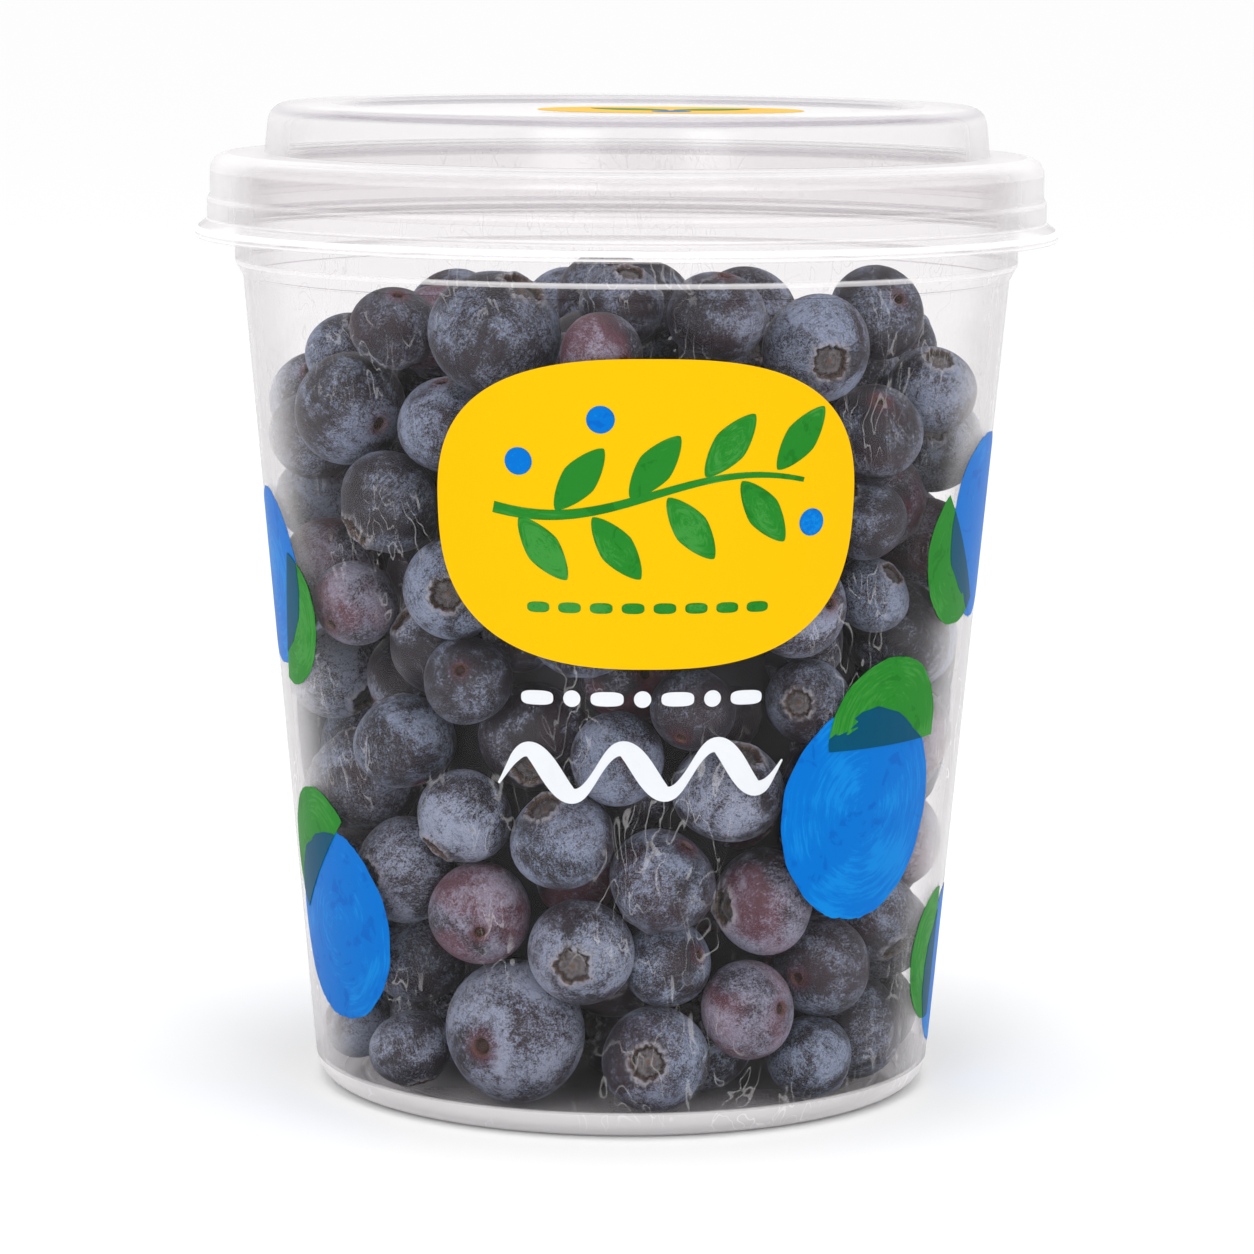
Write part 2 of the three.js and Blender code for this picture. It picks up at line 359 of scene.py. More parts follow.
@dataclass(frozen=True)
class BerrySkin:
    """Dark berry skin under a pale, rubbed bloom, brown and ragged at its two ends.

    The bloom lies where patches, mottling, fibres and grain add up to enough, and bloom_level makes it
    thicker or thinner everywhere.
    """

    name: str
    skin: Colour = (0.019, 0.016, 0.022)
    bloom: Colour = (0.182, 0.224, 0.322)
    blush: Colour = (0.090, 0.032, 0.046)
    blush_bloom: Colour = (0.22, 0.15, 0.20)
    wisp: Colour = (0.42, 0.44, 0.53)
    blush_share: float = 0.08
    bloom_level: float = 0.03
    bloom_edge: Point2 = (-0.30, 0.36)
    ends: EndTints = EndTints()

    def material(self) -> bpy.types.Material:
        """Builds the material, which reads each berry's own place, ends and tone from the mesh."""
        graph = Graph(self.name)
        spot = graph.place()
        own = graph.attribute("own_place")
        tone, redness, _ = graph.parts(graph.attribute("own_tone"))
        redness = redness * (1.0 - self.blush_share) + self.blush_share
        patches = graph.noise(spot, 0.14, 2.0, 0.5, 0.8)
        mottle = graph.noise(spot, 0.80, 3.0, 0.72, 1.0)
        fibres = graph.noise(graph.stretched(own, (9.0, 9.0, 2.2)), 1.0, 3.0, 0.8, 1.8)
        grain = graph.noise(spot, 4.6, 1.0, 0.8)
        rubbed = graph.noise(graph.stretched(own, (2.2, 2.2, 7.5)), 1.0, 3.0, 0.75, 2.2)

        amount = patches * 1.75 + mottle * 1.15 + fibres * 1.15 + grain * 1.25
        amount = amount + tone * 0.22 + (self.bloom_level - 2.80)
        bloom = amount.step(*self.bloom_edge) * (1.0 - 0.5 * rubbed.step(0.54, 0.64))
        swirl = graph.noise(spot, 0.75, 3.0, 0.75, 1.8) - 0.5
        wisps = (swirl * swirl).step(0.0030, 0.0) * patches.step(0.38, 0.58)
        red = (graph.noise(spot, 0.12, 1.0).step(0.36, 0.60) * redness).smallest(1.0)
        skin = graph.blend(red * self.blush_share * 2.2, self.skin, self.blush)
        dusty = graph.blend(red * self.blush_share, self.bloom, self.blush_bloom)
        colour = graph.layered(skin, ((bloom, dusty), (wisps * (0.08 + 0.22 * bloom), self.wisp)))
        colour = self._crowned(graph, colour, mottle, grain)
        colour = self._scarred(graph, colour, redness)

        shader = graph.surface(
            {
                "Base Color": colour,
                "Roughness": 0.52 + 0.24 * bloom,
                "Normal": graph.bump(fibres * 0.6 + grain * 0.4, 0.5, 0.10 * MM),
                "IOR": 1.42,
                "Specular IOR Level": 0.42,
                "Sheen Weight": 0.04,
                "Sheen Roughness": 0.35,
                "Sheen Tint": (0.80, 0.86, 1.0),
            }
        )
        return graph.finish(shader)

    def _crowned(
        self, graph: Graph, colour: bpy.types.NodeSocket, mottle: Signal, grain: Signal
    ) -> bpy.types.NodeSocket:
        """Paints the crown: a pale ragged rim round a dark basin with a stub in its middle, and painted
        shade just inside the rim.

        Args:
            graph: The material's nodes.
            colour: The colour of the skin.
            mottle: The skin's coarse spots.
            grain: The skin's fine spots.

        Returns:
            The colour of skin and crown.
        """
        crown, _, _ = graph.parts(graph.attribute("own_end"))
        ragged = crown + (grain - 0.5) * 0.3 + (mottle - 0.5) * 0.35
        rim = ragged.step(0.92, 1.02) * ragged.step(1.42, 1.16)
        inside = crown.step(1.04, 0.94)
        floor = graph.blend(mottle.step(0.38, 0.60), self.ends.floor, self.ends.floor_light)
        layers = (
            (inside * 0.94, floor),
            # Painted shade in a band just inside the rim.
            (crown.step(0.66, 0.84) * inside * 0.9, self.ends.painted_hollow_shade),
            (ragged.step(0.50, 0.44) * ragged.step(0.32, 0.40) * 0.5, self.ends.groove),
            (crown.step(0.17, 0.10) * 0.7, self.ends.stub),
            (rim * (0.15 + 0.6 * mottle.step(0.40, 0.58)), self.ends.rim),
            (crown.step(0.86, 0.93) * crown.step(1.06, 0.98) * 0.6, self.ends.edge),
        )
        return graph.layered(colour, layers)

    def _scarred(
        self, graph: Graph, colour: bpy.types.NodeSocket, redness: Signal
    ) -> bpy.types.NodeSocket:
        """Paints the stem's scar: a brown collar round a dark pit, with red skin about it."""
        _, scar, _ = graph.parts(graph.attribute("own_end"))
        layers = (
            (scar.step(3.4, 1.0) * (0.35 + redness * 0.6) * 0.62, self.ends.scar_blush),
            (scar.step(1.15, 0.85), self.ends.scar_pit),
            (scar.step(1.5, 1.2) * scar.step(0.9, 1.1) * 0.5, self.ends.scar_collar),
        )
        return graph.layered(colour, layers)


@dataclass(frozen=True)
class Ink:
    """Brushed printing ink, a little uneven where the brush ran."""

    name: str
    main: Colour
    light: Colour
    dark: Colour
    stroke: float
    roughness: float = 0.4

    def material(self) -> bpy.types.Material:
        """Builds the material, which reads from the mesh how the brush ran and where the rim is."""
        graph = Graph(self.name)
        spot = graph.place()
        run = graph.stretched(graph.attribute("own_stroke"), (1.0, 1.1, 1.1))
        rim, _, _ = graph.parts(graph.attribute("own_rim"))
        bristles = graph.noise(run, 1.7, 3.0, 0.7, 0.3)
        wash = graph.noise(spot, 0.085, 2.0, 0.5, 0.8)
        blots = graph.noise(spot, 0.26, 4.0, 0.62, 1.3)
        light = (bristles * 0.9 + wash * 1.1).step(0.97, 1.20) * self.stroke
        worn_rim = rim.step(0.45, 0.05) * blots.step(0.52, 0.60)
        dark = (blots.step(0.56, 0.61) * wash.step(0.53, 0.45)).largest(worn_rim)
        colour = graph.blend(light, self.main, self.light)
        colour = graph.blend(dark * self.stroke * 0.8, colour, self.dark)
        shader = graph.surface(
            {
                "Base Color": colour,
                "Roughness": self.roughness,
                "IOR": 1.4,
                "Specular IOR Level": 0.05,
            }
        )
        return graph.finish(shader)


@dataclass(frozen=True)
class PaintedShadeFill:
    """Painted shade: a near-black fill for what is seen of the heap's inside, deep between the berries."""

    name: str
    colour: Colour = (0.010, 0.009, 0.012)
    light: float = 2.2

    def material(self) -> bpy.types.Material:
        """Builds the material."""
        graph = Graph(self.name)
        patches = graph.noise(graph.place(), 0.14, 2.0)
        lighter = tuple(self.light * c for c in self.colour)
        colour = graph.blend(patches.step(0.4, 0.7), self.colour, lighter)
        return graph.finish(graph.surface({"Base Color": colour, "Roughness": 0.8}))


@dataclass(frozen=True)
class Paper:
    """The pale studio floor."""

    name: str
    colour: Colour = (0.95, 0.95, 0.95)

    def material(self) -> bpy.types.Material:
        """Builds the material."""
        graph = Graph(self.name)
        white = graph.node("ShaderNodeBsdfDiffuse", None, {"Color": self.colour}).outputs[0]
        return graph.finish(white)


# Meshes


def mesh_piece(
    name: str, points: Iterable, faces: Iterable, material: bpy.types.Material
) -> bpy.types.Object:
    """Makes a smooth mesh object.

    Args:
        name: The piece's name.
        points: Its vertices, in metres.
        faces: Its faces, as lists of vertex numbers.
        material: Its finish.

    Returns:
        The new object, linked to the scene.
    """
    mesh = bpy.data.meshes.new(name)
    mesh.from_pydata([tuple(p) for p in points], [], [tuple(f) for f in faces])
    mesh.validate()
    mesh.polygons.foreach_set("use_smooth", [True] * len(mesh.polygons))
    mesh.materials.append(material)
    piece = bpy.data.objects.new(name, mesh)
    bpy.context.scene.collection.objects.link(piece)
    return piece


def store_vectors(piece: bpy.types.Object, name: str, vectors: np.ndarray) -> None:
    """Keeps one vector for each vertex in the mesh, for the material to read."""
    held = piece.data.attributes.new(name, "FLOAT_VECTOR", "POINT")
    held.data.foreach_set("vector", np.asarray(vectors, np.float32).ravel())


def stand_for(piece: bpy.types.Object, node: str) -> None:
    """Lets a piece ride on the part's body and stand for a solid of the frame."""
    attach(piece, BODY)
    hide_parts(node)
    LOG.info("%s: %d faces, in place of %s", piece.name, len(piece.data.polygons), node)


# Sheets


SHEET_SIDES = 180
TIP_STEPS = 6


@dataclass(frozen=True)
class Bend:
    """A corner of a section, in millimetres.

    radius and height are where its two straight lines meet, and rounding is the radius of its arc. line
    says how dark a painted line the middle of the arc draws in the sheet, and the last number how pale a
    painted band the whole arc draws. Both are painted light for what the rounded bend reflects and
    refracts.
    """

    radius: float
    height: float
    rounding: float = 0.0
    # The bend's painted dark line and painted pale band.
    line: float = 0.0
    painted_pale_band: float = 0.0


@dataclass(frozen=True)
class Stop:
    """A point of a sheet's section, with how dark a painted line and how pale a painted band the sheet
    shows there.
    """

    spot: Vector
    line: float = 0.0
    painted_pale_band: float = 0.0


@dataclass
class Section:
    """The middle line of a sheet, from the axis outwards, in millimetres.

    steps is how many flat stretches an arc has, and fade how far beside an arc its painted line and
    painted band end.
    """

    bends: Sequence[Bend]
    sheet: float
    steps: int = 8
    fade: float = 0.2

    def stops(self) -> list[Stop]:
        """The middle line's points, with every corner rounded."""
        corners = [Vector((b.radius, b.height)) for b in self.bends]
        stops = [Stop(corners[0])]
        for before, bend, after in zip(corners, list(self.bends)[1:-1], corners[2:]):
            stops.extend(self._rounded(before, bend, after))
        stops.append(Stop(corners[-1], painted_pale_band=self.bends[-1].painted_pale_band))
        return stops

    def _rounded(self, before: Vector, bend: Bend, after: Vector) -> list[Stop]:
        """The arc that rounds one corner, with a plain point beside each of its ends."""
        corner = Vector((bend.radius, bend.height))
        back = (before - corner).normalized()
        ahead = (after - corner).normalized()
        half = math.acos(max(-1.0, min(1.0, back.dot(ahead)))) / 2
        run = bend.rounding / math.tan(half)
        centre = corner + (back + ahead).normalized() * (bend.rounding / math.sin(half))
        start = corner + back * run - centre
        swing = math.pi - 2 * half
        side = 1.0 if back.cross(ahead) < 0 else -1.0
        arc = []
        for i in range(self.steps + 1):
            turn = Matrix.Rotation(side * swing * i / self.steps, 2)
            # The painted dark line lies only at the middle of the arc; the painted pale band covers all of
            # it.
            line = bend.line if abs(2 * i - self.steps) <= 2 else 0.0
            arc.append(Stop(centre + turn @ start, line, bend.painted_pale_band))
        first = Stop(corner + back * (run + self.fade))
        last = Stop(corner + ahead * (run + self.fade))
        return [first, *arc, last]

    def faces_apart(self) -> tuple[list[Stop], list[Stop]]:
        """The sheet's two faces: the lower or outer one, and the upper or inner one with the end."""
        stops = self.stops()
        outer = [self._beside(stops, i, -self.sheet / 2) for i in range(len(stops))]
        inner = [self._beside(stops, i, self.sheet / 2) for i in range(len(stops))]
        return outer, self._tip(stops) + inner[::-1]

    def _beside(self, stops: list[Stop], i: int, distance: float) -> Stop:
        """A point of the line, moved square to it."""
        ahead = stops[min(i + 1, len(stops) - 1)].spot - stops[max(i - 1, 0)].spot
        if i == 0:
            ahead = Vector((1.0, 0.0))
        square = Vector((-ahead.y, ahead.x)).normalized()
        return Stop(stops[i].spot + square * distance, stops[i].line, stops[i].painted_pale_band)

    def _tip(self, stops: list[Stop]) -> list[Stop]:
        """The round end of the sheet."""
        ahead = (stops[-1].spot - stops[-2].spot).normalized()
        square = Vector((-ahead.y, ahead.x))
        half = self.sheet / 2
        turns = [math.pi * i / TIP_STEPS for i in range(1, TIP_STEPS)]
        end = stops[-1].spot
        return [Stop(end - square * half * math.cos(t) + ahead * half * math.sin(t)) for t in turns]


def revolved(
    name: str, stops: list[Stop], steps: int, materials: Sequence, split: int = 0
) -> bpy.types.Object:
    """Turns a closed outline that starts and ends on the axis into a solid.

    Args:
        name: The piece's name.
        stops: The outline's points, in millimetres.
        steps: Flat sides in a full turn.
        materials: The finish, or the finishes of the first and of the second part of the outline.
        split: How many points the first part has.

    Returns:
        The new object.
    """
    rings = stops[1:-1]
    turns = [2 * math.pi * i / steps for i in range(steps)]
    points = [(0.0, 0.0, stops[0].spot.y * MM)]
    for stop in rings:
        radius, height = stop.spot * MM
        points += [(radius * math.cos(t), radius * math.sin(t), height) for t in turns]
    points.append((0.0, 0.0, stops[-1].spot.y * MM))
    last = len(points) - 1
    faces, finishes = [], []
    for i in range(steps):
        j = (i + 1) % steps
        faces.append((0, 1 + j, 1 + i))
        finishes.append(0)
        for ring in range(len(rings) - 1):
            low = 1 + ring * steps
            high = low + steps
            faces.append((low + i, low + j, high + j, high + i))
            finishes.append(int(0 < split <= ring + 1))
        top = 1 + (len(rings) - 1) * steps
        faces.append((last, top + i, top + j))
        finishes.append(int(split > 0))
    piece = mesh_piece(name, points, faces, materials[0])
    for material in materials[1:]:
        piece.data.materials.append(material)
    piece.data.polygons.foreach_set("material_index", finishes)
    # Each vertex keeps its bend's painted dark line and painted pale band.
    bends = [(0.0, 0.0, 0.0)]
    bends += [(stop.line, stop.painted_pale_band, 0.0) for stop in rings for _ in turns]
    store_vectors(piece, "own_bend", np.array([*bends, (0.0, 0.0, 0.0)]))
    return piece


def sheet_piece(name: str, section: Section, finish: ClearSheet) -> bpy.types.Object:
    """Makes a round sheet. Its inner face is as clear as its outer one, but not worn.

    Args:
        name: The piece's name.
        section: The sheet's section.
        finish: The finish of its outer face.

    Returns:
        The new object.
    """
    outer, inner = section.faces_apart()
    plain = replace(finish, name=f"{finish.name}_inside", worn=False)
    finishes = [finish.material(), plain.material()]
    return revolved(name, outer + inner, SHEET_SIDES, finishes, len(outer))


# The tub and the lid


@dataclass
class Tub:
    """The tapered tub of clear sheet, in millimetres."""

    sheet: float = 0.6
    panel_radius: float = 33.8
    panel_height: float = 1.0
    foot_radius: float = 35.9
    corner_rounding: float = 3.6
    wall_low: Point2 = (42.7, 4.0)
    wall_high: Point2 = (52.5, 111.6)
    neck_radius: float = 53.6
    neck_start: float = 113.6
    lip_radius: float = 56.1
    lip_top: float = 127.3
    lip_end: float = 121.4

    def wall_radius(self, height: float) -> float:
        """The wall's outer radius at a height."""
        rise = height - self.wall_low[1]
        slope = (self.wall_high[0] - self.wall_low[0]) / (self.wall_high[1] - self.wall_low[1])
        return self.wall_low[0] + slope * rise

    def floor_top(self) -> float:
        """The height that the lowest berries rest on."""
        return self.panel_height + self.sheet

    def section(self) -> Section:
        """The tub's section."""
        half = self.sheet / 2
        floor = self.panel_height + half
        lip = self.lip_top - half
        return Section(
            # The last two numbers of a bend are its painted dark line and its painted pale band.
            bends=(
                Bend(0.0, floor),
                Bend(self.panel_radius, floor, 1.2, 0.3, 0.1),
                Bend(self.foot_radius, half, 1.2, 0.6, 0.2),
                Bend(self.wall_radius(half) - half, half, self.corner_rounding, 0.35, 0.5),
                Bend(self.wall_high[0] - half, self.wall_high[1], 0.5, 0.8, 0.0),
                Bend(self.neck_radius - half, self.neck_start, 0.7, 0.0, 0.42),
                Bend(self.neck_radius - half, lip, 1.1, 0.2, 0.1),
                Bend(self.lip_radius - half, lip, 1.1, 0.2, 0.2),
                Bend(self.lip_radius - half, self.lip_end),
            ),
            sheet=self.sheet,
        )

    def build(self) -> bpy.types.Object:
        """Makes the tub."""
        piece = sheet_piece("tub_shell", self.section(), ClearSheet("tub_sheet"))
        stand_for(piece, "tub")
        return piece


@dataclass
class Lid:
    """The stepped lid of clear sheet, in millimetres."""

    sheet: float = 0.6
    panel_radius: float = 39.8
    panel_top: float = 133.8
    ring_inner: float = 40.6
    ring_top: float = 135.0
    ring_outer: float = 48.9
    edge_rounding: float = 2.4
    plateau_foot: float = 49.6
    shoulder_top: float = 128.2
    shoulder_rounding: float = 2.0
    skirt_radius: float = 57.0
    bead_top: float = 122.6
    bead_radius: float = 57.4
    skirt_end: float = 119.2
    flange_radius: float = 59.0
    flange_top: float = 117.9
    flange_end: float = 116.8

    def section(self) -> Section:
        """The lid's section."""
        half = self.sheet / 2
        shoulder = self.shoulder_top - half
        return Section(
            # The last two numbers of a bend are its painted dark line and its painted pale band.
            bends=(
                Bend(0.0, self.panel_top - half),
                Bend(self.panel_radius, self.panel_top - half, 0.4, 0.15),
                Bend(self.ring_inner, self.ring_top - half, 0.4, 0.1),
                Bend(self.ring_outer - half, self.ring_top - half, self.edge_rounding, 0.55, 0.0),
                Bend(self.plateau_foot - half, shoulder, 0.5, 0.5),
                Bend(self.skirt_radius - half, shoulder, self.shoulder_rounding, 0.0, 0.12),
                Bend(self.skirt_radius - half, self.bead_top, 0.3, 0.3),
                Bend(self.bead_radius - half, self.bead_top - self.sheet, 0.4, 0.0, 0.15),
                Bend(self.bead_radius - half, self.skirt_end, 0.4, 0.55, 0.3),
                Bend(self.flange_radius - half, self.flange_top, 0.45, 0.0, 0.75),
                Bend(self.flange_radius - half, self.flange_end + half, painted_pale_band=0.6),
            ),
            sheet=self.sheet,
        )

    def build(self) -> bpy.types.Object:
        """Makes the lid."""
        finish = ClearSheet(
            "lid_sheet",
            tint=(0.989, 0.985, 0.986),
            haze_and_glare=(0.90, 0.885, 0.89),
            mirror_front=0.03,
            mirror_edge=0.35,
            haze_front=0.055,
            edge_haze_and_glare=0.36,
            gloss_roughness=0.18,
            worn=False,
        )
        piece = sheet_piece("lid_shell", self.section(), finish)
        stand_for(piece, "lid")
        return piece


# The berries


class Kind(Enum):
    """The kinds of berry, each with a finish of its own."""

    BLUE = BerrySkin("berry_blue")
    DUSTY = BerrySkin("berry_dusty", bloom_level=0.07, bloom=(0.232, 0.268, 0.366))
    DARK = BerrySkin("berry_dark", bloom_level=-0.14, bloom=(0.160, 0.194, 0.276))
    RED = BerrySkin("berry_red", blush_share=0.7, bloom_level=0.02, bloom=(0.212, 0.214, 0.292))


class End(Enum):
    """Which end of a berry is turned towards its direction."""

    CROWN = 1.0
    SCAR = -1.0


@dataclass
class Berry:
    """One berry: its centre and largest radius in millimetres, and where its crown looks."""

    centre: Vector
    radius: float
    crown: Vector
    kind: Kind


@dataclass(frozen=True)
class Placed:
    """A berry against the front of the wall, as it is seen from there.

    turn is its angle round the tub from the front in degrees, height that of its centre, and inset how
    far in from the wall it lies. across and up say where the end that shows lies on the berry's face, in
    shares of its radius.
    """

    turn: float
    height: float
    radius: float
    inset: float
    end: End
    across: float
    up: float
    kind: Kind


FRONT = (
    Placed(-26, 11.9, 9.8, 0, End.SCAR, -0.52, -0.08, Kind.DUSTY),
    Placed(-52, 7.9, 5.9, 0, End.CROWN, 0.3, -0.9, Kind.DUSTY),
    Placed(-84, 7.4, 5.3, 0, End.CROWN, -0.9, 0.3, Kind.BLUE),
    Placed(7.5, 9.4, 7.3, 0, End.CROWN, -0.16, 0.14, Kind.BLUE),
    Placed(-8.5, 24.2, 7.2, 0, End.CROWN, -0.17, -0.14, Kind.DUSTY),
    Placed(10.5, 22.0, 6.2, 4, End.SCAR, 0.8, 0.3, Kind.BLUE),
    Placed(-31, 28.3, 7.1, 0, End.SCAR, 0.03, -0.26, Kind.RED),
    Placed(-61, 19.7, 7.3, 4, End.CROWN, -0.2, 0.95, Kind.DARK),
    Placed(-76, 30.5, 6.0, 0, End.SCAR, -0.5, 0.8, Kind.DARK),
    Placed(-12, 39.4, 7.0, 0, End.CROWN, -0.4, 0.8, Kind.BLUE),
    Placed(8.5, 33.8, 7.5, 0, End.SCAR, 0.5, 0.82, Kind.BLUE),
    Placed(-1, 50.5, 6.3, 2, End.SCAR, 0.3, 0.25, Kind.BLUE),
    Placed(21.5, 45.8, 7.4, 0, End.CROWN, 0.3, 0.85, Kind.DUSTY),
    Placed(43, 45.7, 5.9, 0, End.SCAR, 0.4, -0.3, Kind.RED),
    Placed(37, 57.4, 5.8, 0, End.CROWN, -0.3, 0.1, Kind.DARK),
    Placed(-7.5, 68.6, 7.7, 0, End.SCAR, 0.1, 0.9, Kind.BLUE),
    Placed(-30, 60.4, 6.0, 0, End.SCAR, -0.2, 0.4, Kind.DARK),
    Placed(-33, 72.4, 6.8, 0, End.CROWN, -0.12, 0.0, Kind.BLUE),
    Placed(-60, 68.6, 5.9, 0, End.SCAR, -0.6, -0.5, Kind.RED),
    Placed(-48.5, 83.0, 7.3, 0, End.CROWN, -0.7, -0.6, Kind.DARK),
    Placed(-37, 93.8, 6.8, 4, End.SCAR, -0.1, 0.95, Kind.BLUE),
    Placed(-78, 90.0, 6.2, 0, End.CROWN, 0.4, 0.7, Kind.DARK),
    Placed(-78, 101.0, 6.3, 6, End.CROWN, 0.3, 0.85, Kind.BLUE),
    Placed(-24, 106.2, 9.0, 0, End.CROWN, 0.5, 0.8, Kind.DARK),
    Placed(-50, 106.0, 6.0, 5, End.SCAR, 0.1, 0.9, Kind.DARK),
    Placed(-4, 104.0, 5.8, 0, End.SCAR, 0.6, -0.1, Kind.RED),
    Placed(-1, 110.0, 5.7, 10, End.CROWN, 0.2, 0.9, Kind.DARK),
    Placed(16, 109.0, 6.6, 2, End.SCAR, 0.2, 0.95, Kind.DARK),
    Placed(35, 104.5, 7.3, 0, End.CROWN, 0.25, -0.2, Kind.BLUE),
    Placed(60, 108.0, 6.6, 6, End.SCAR, 0.5, 0.4, Kind.DARK),
    Placed(50, 92.8, 6.6, 0, End.SCAR, 0.1, 0.8, Kind.DARK),
    Placed(70, 97.5, 6.1, 0, End.CROWN, 0.1, 0.8, Kind.BLUE),
    Placed(48, 81.2, 5.6, 0, End.CROWN, -0.6, 0.7, Kind.DARK),
    Placed(55, 70.5, 5.4, 2, End.CROWN, 0.6, 0.7, Kind.BLUE),
)


class Draw:
    """A seeded draw of numbers between 0 and 1."""

    FACTOR = 1664525
    ADDEND = 1013904223
    STATES = 2**32

    def __init__(self, seed: int) -> None:
        """Starts at a seed."""
        self.state = seed

    def __call__(self) -> float:
        """The next number."""
        self.state = (self.state * self.FACTOR + self.ADDEND) % self.STATES
        return self.state / self.STATES

    def within(self, least: float, spread: float) -> float:
        """A number between the least and as much more as the spread."""
        return least + spread * self()

    def angle(self) -> float:
        """A random angle."""
        return self() * 2 * math.pi

    def direction(self) -> Vector:
        """A random direction."""
        height = self() * 2 - 1
        angle = self.angle()
        flat = math.sqrt(1 - height * height)
        return Vector((flat * math.cos(angle), flat * math.sin(angle), height))


@dataclass
class Settling:
    """The berries' arrangement: those in front have their places and the others settle round them.

    The loose ones are drawn in a column of that height and sink in rounds of steps, less in each round.
    middle is the height of the heap's surface on the axis and fall how much lower it is at the wall.
    """

    tub: Tub
    smallest: float = 5.6
    largest: float = 8.6
    count: int = 250
    seed: int = 41
    look_seed: int = 48
    kinds: Sequence[Kind] = (Kind.BLUE, Kind.DARK, Kind.DUSTY, Kind.RED)
    kind_power: float = 0.8
    kind_reach: float = 3.6
    wall_gap: float = 0.4
    column: float = 136.0
    middle: float = 109.0
    fall: float = 11.0
    rounds: int = 60
    steps: int = 12
    sink: float = 0.15
    margin: float = 6.0

    def inside_radius(self, height: float) -> float:
        """The wall's inner radius at a height."""
        return self.tub.wall_radius(height) - self.tub.sheet

    def surface_height(self, x: float, y: float) -> float:
        """The highest place for a berry's centre above a point of the floor."""
        share = (x * x + y * y) / self.inside_radius(self.middle) ** 2
        return self.middle - self.fall * share

    def settle(self) -> list[Berry]:
        """Lets the berries sink and push each other aside until they lie as they would in the tub.

        Returns:
            The berries, with their directions and kinds drawn.
        """
        front = [self._front(row) for row in FRONT]
        spots = [[b.centre.x, b.centre.y, b.centre.z, b.radius, 0.0] for b in front]
        spots += self._poured()
        for turn in range(self.rounds):
            sink = self.sink * (1 - turn / self.rounds)
            pairs = self._pairs(spots)
            for _ in range(self.steps):
                for spot in spots:
                    spot[2] -= sink * spot[4]
                for a, b, touching in pairs:
                    self._separate(a, b, touching)
                for spot in spots:
                    if spot[4]:
                        self._confine(spot)
        loose = [s for s in spots[len(front) :] if s[2] < self.surface_height(s[0], s[1])]
        return front + self._dressed(loose)

    def _front(self, row: Placed) -> Berry:
        """A berry that lies against the front of the wall."""
        angle = math.radians(row.turn)
        out = self.inside_radius(row.height) - self.wall_gap - row.radius - row.inset
        centre = Vector((out * math.sin(angle), -out * math.cos(angle), row.height))
        flat = row.across * row.across + row.up * row.up
        towards = Vector((row.across, -math.sqrt(max(0.0, 1.0 - flat)), row.up)).normalized()
        return Berry(centre, row.radius, towards * row.end.value, row.kind)

    def _poured(self) -> list[list[float]]:
        """Berries dropped at random in a column above the tub's floor, the first drawn lowest."""
        draw = Draw(self.seed)
        spots = []
        while len(spots) < self.count:
            across = draw() * 2 - 1
            along = draw() * 2 - 1
            size = (draw() + draw() + draw()) / 3
            if across * across + along * along > 1:
                continue
            radius = self.smallest + (self.largest - self.smallest) * size
            height = self.tub.floor_top() + radius + (len(spots) / self.count) * self.column
            reach = self.inside_radius(height) - radius
            spots.append([across * reach, along * reach, height, radius, 1.0])
        return spots

    def _pairs(self, spots: list[list[float]]) -> list[tuple[list[float], list[float], float]]:
        """Pairs of berries near enough to meet before the list is made again."""
        places = np.array([s[:3] for s in spots])
        radii = np.array([s[3] for s in spots])
        pairs = []
        for i in range(len(spots)):
            away = places[i + 1 :] - places[i]
            reach = radii[i + 1 :] + radii[i] + self.margin
            near = np.nonzero((away * away).sum(1) < reach * reach)[0]
            for j in near:
                other = spots[i + 1 + int(j)]
                pairs.append((spots[i], other, spots[i][3] + other[3]))
        return pairs

    @staticmethod
    def _separate(a: list[float], b: list[float], touching: float) -> None:
        """Moves two berries apart, half of their overlap each, or all of it where one has its place."""
        dx = b[0] - a[0]
        dy = b[1] - a[1]
        dz = b[2] - a[2]
        square = dx * dx + dy * dy + dz * dz
        if square >= touching * touching or square == 0.0:
            return
        away = math.sqrt(square)
        push = (touching - away) / max(a[4] + b[4], 1.0) / away
        for spot, share in ((a, -push * a[4]), (b, push * b[4])):
            spot[0] += dx * share
            spot[1] += dy * share
            spot[2] += dz * share

    def _confine(self, spot: list[float]) -> None:
        """Keeps a berry above the floor and inside the wall."""
        lowest = self.tub.floor_top() + self.wall_gap + spot[3]
        if spot[2] < lowest:
            spot[2] = lowest
        out = math.sqrt(spot[0] * spot[0] + spot[1] * spot[1])
        most = self.inside_radius(spot[2]) - self.wall_gap - spot[3]
        if out > most:
            spot[0] *= most / out
            spot[1] *= most / out

    def _dressed(self, spots: list[list[float]]) -> list[Berry]:
        """Gives the settled berries their directions and kinds."""
        draw = Draw(self.look_seed)
        berries = []
        for x, y, z, radius, _ in spots:
            chance = draw()
            kind = self.kinds[int((chance**self.kind_power) * self.kind_reach)]
            berries.append(Berry(Vector((x, y, z)), radius, draw.direction(), kind))
        return berries


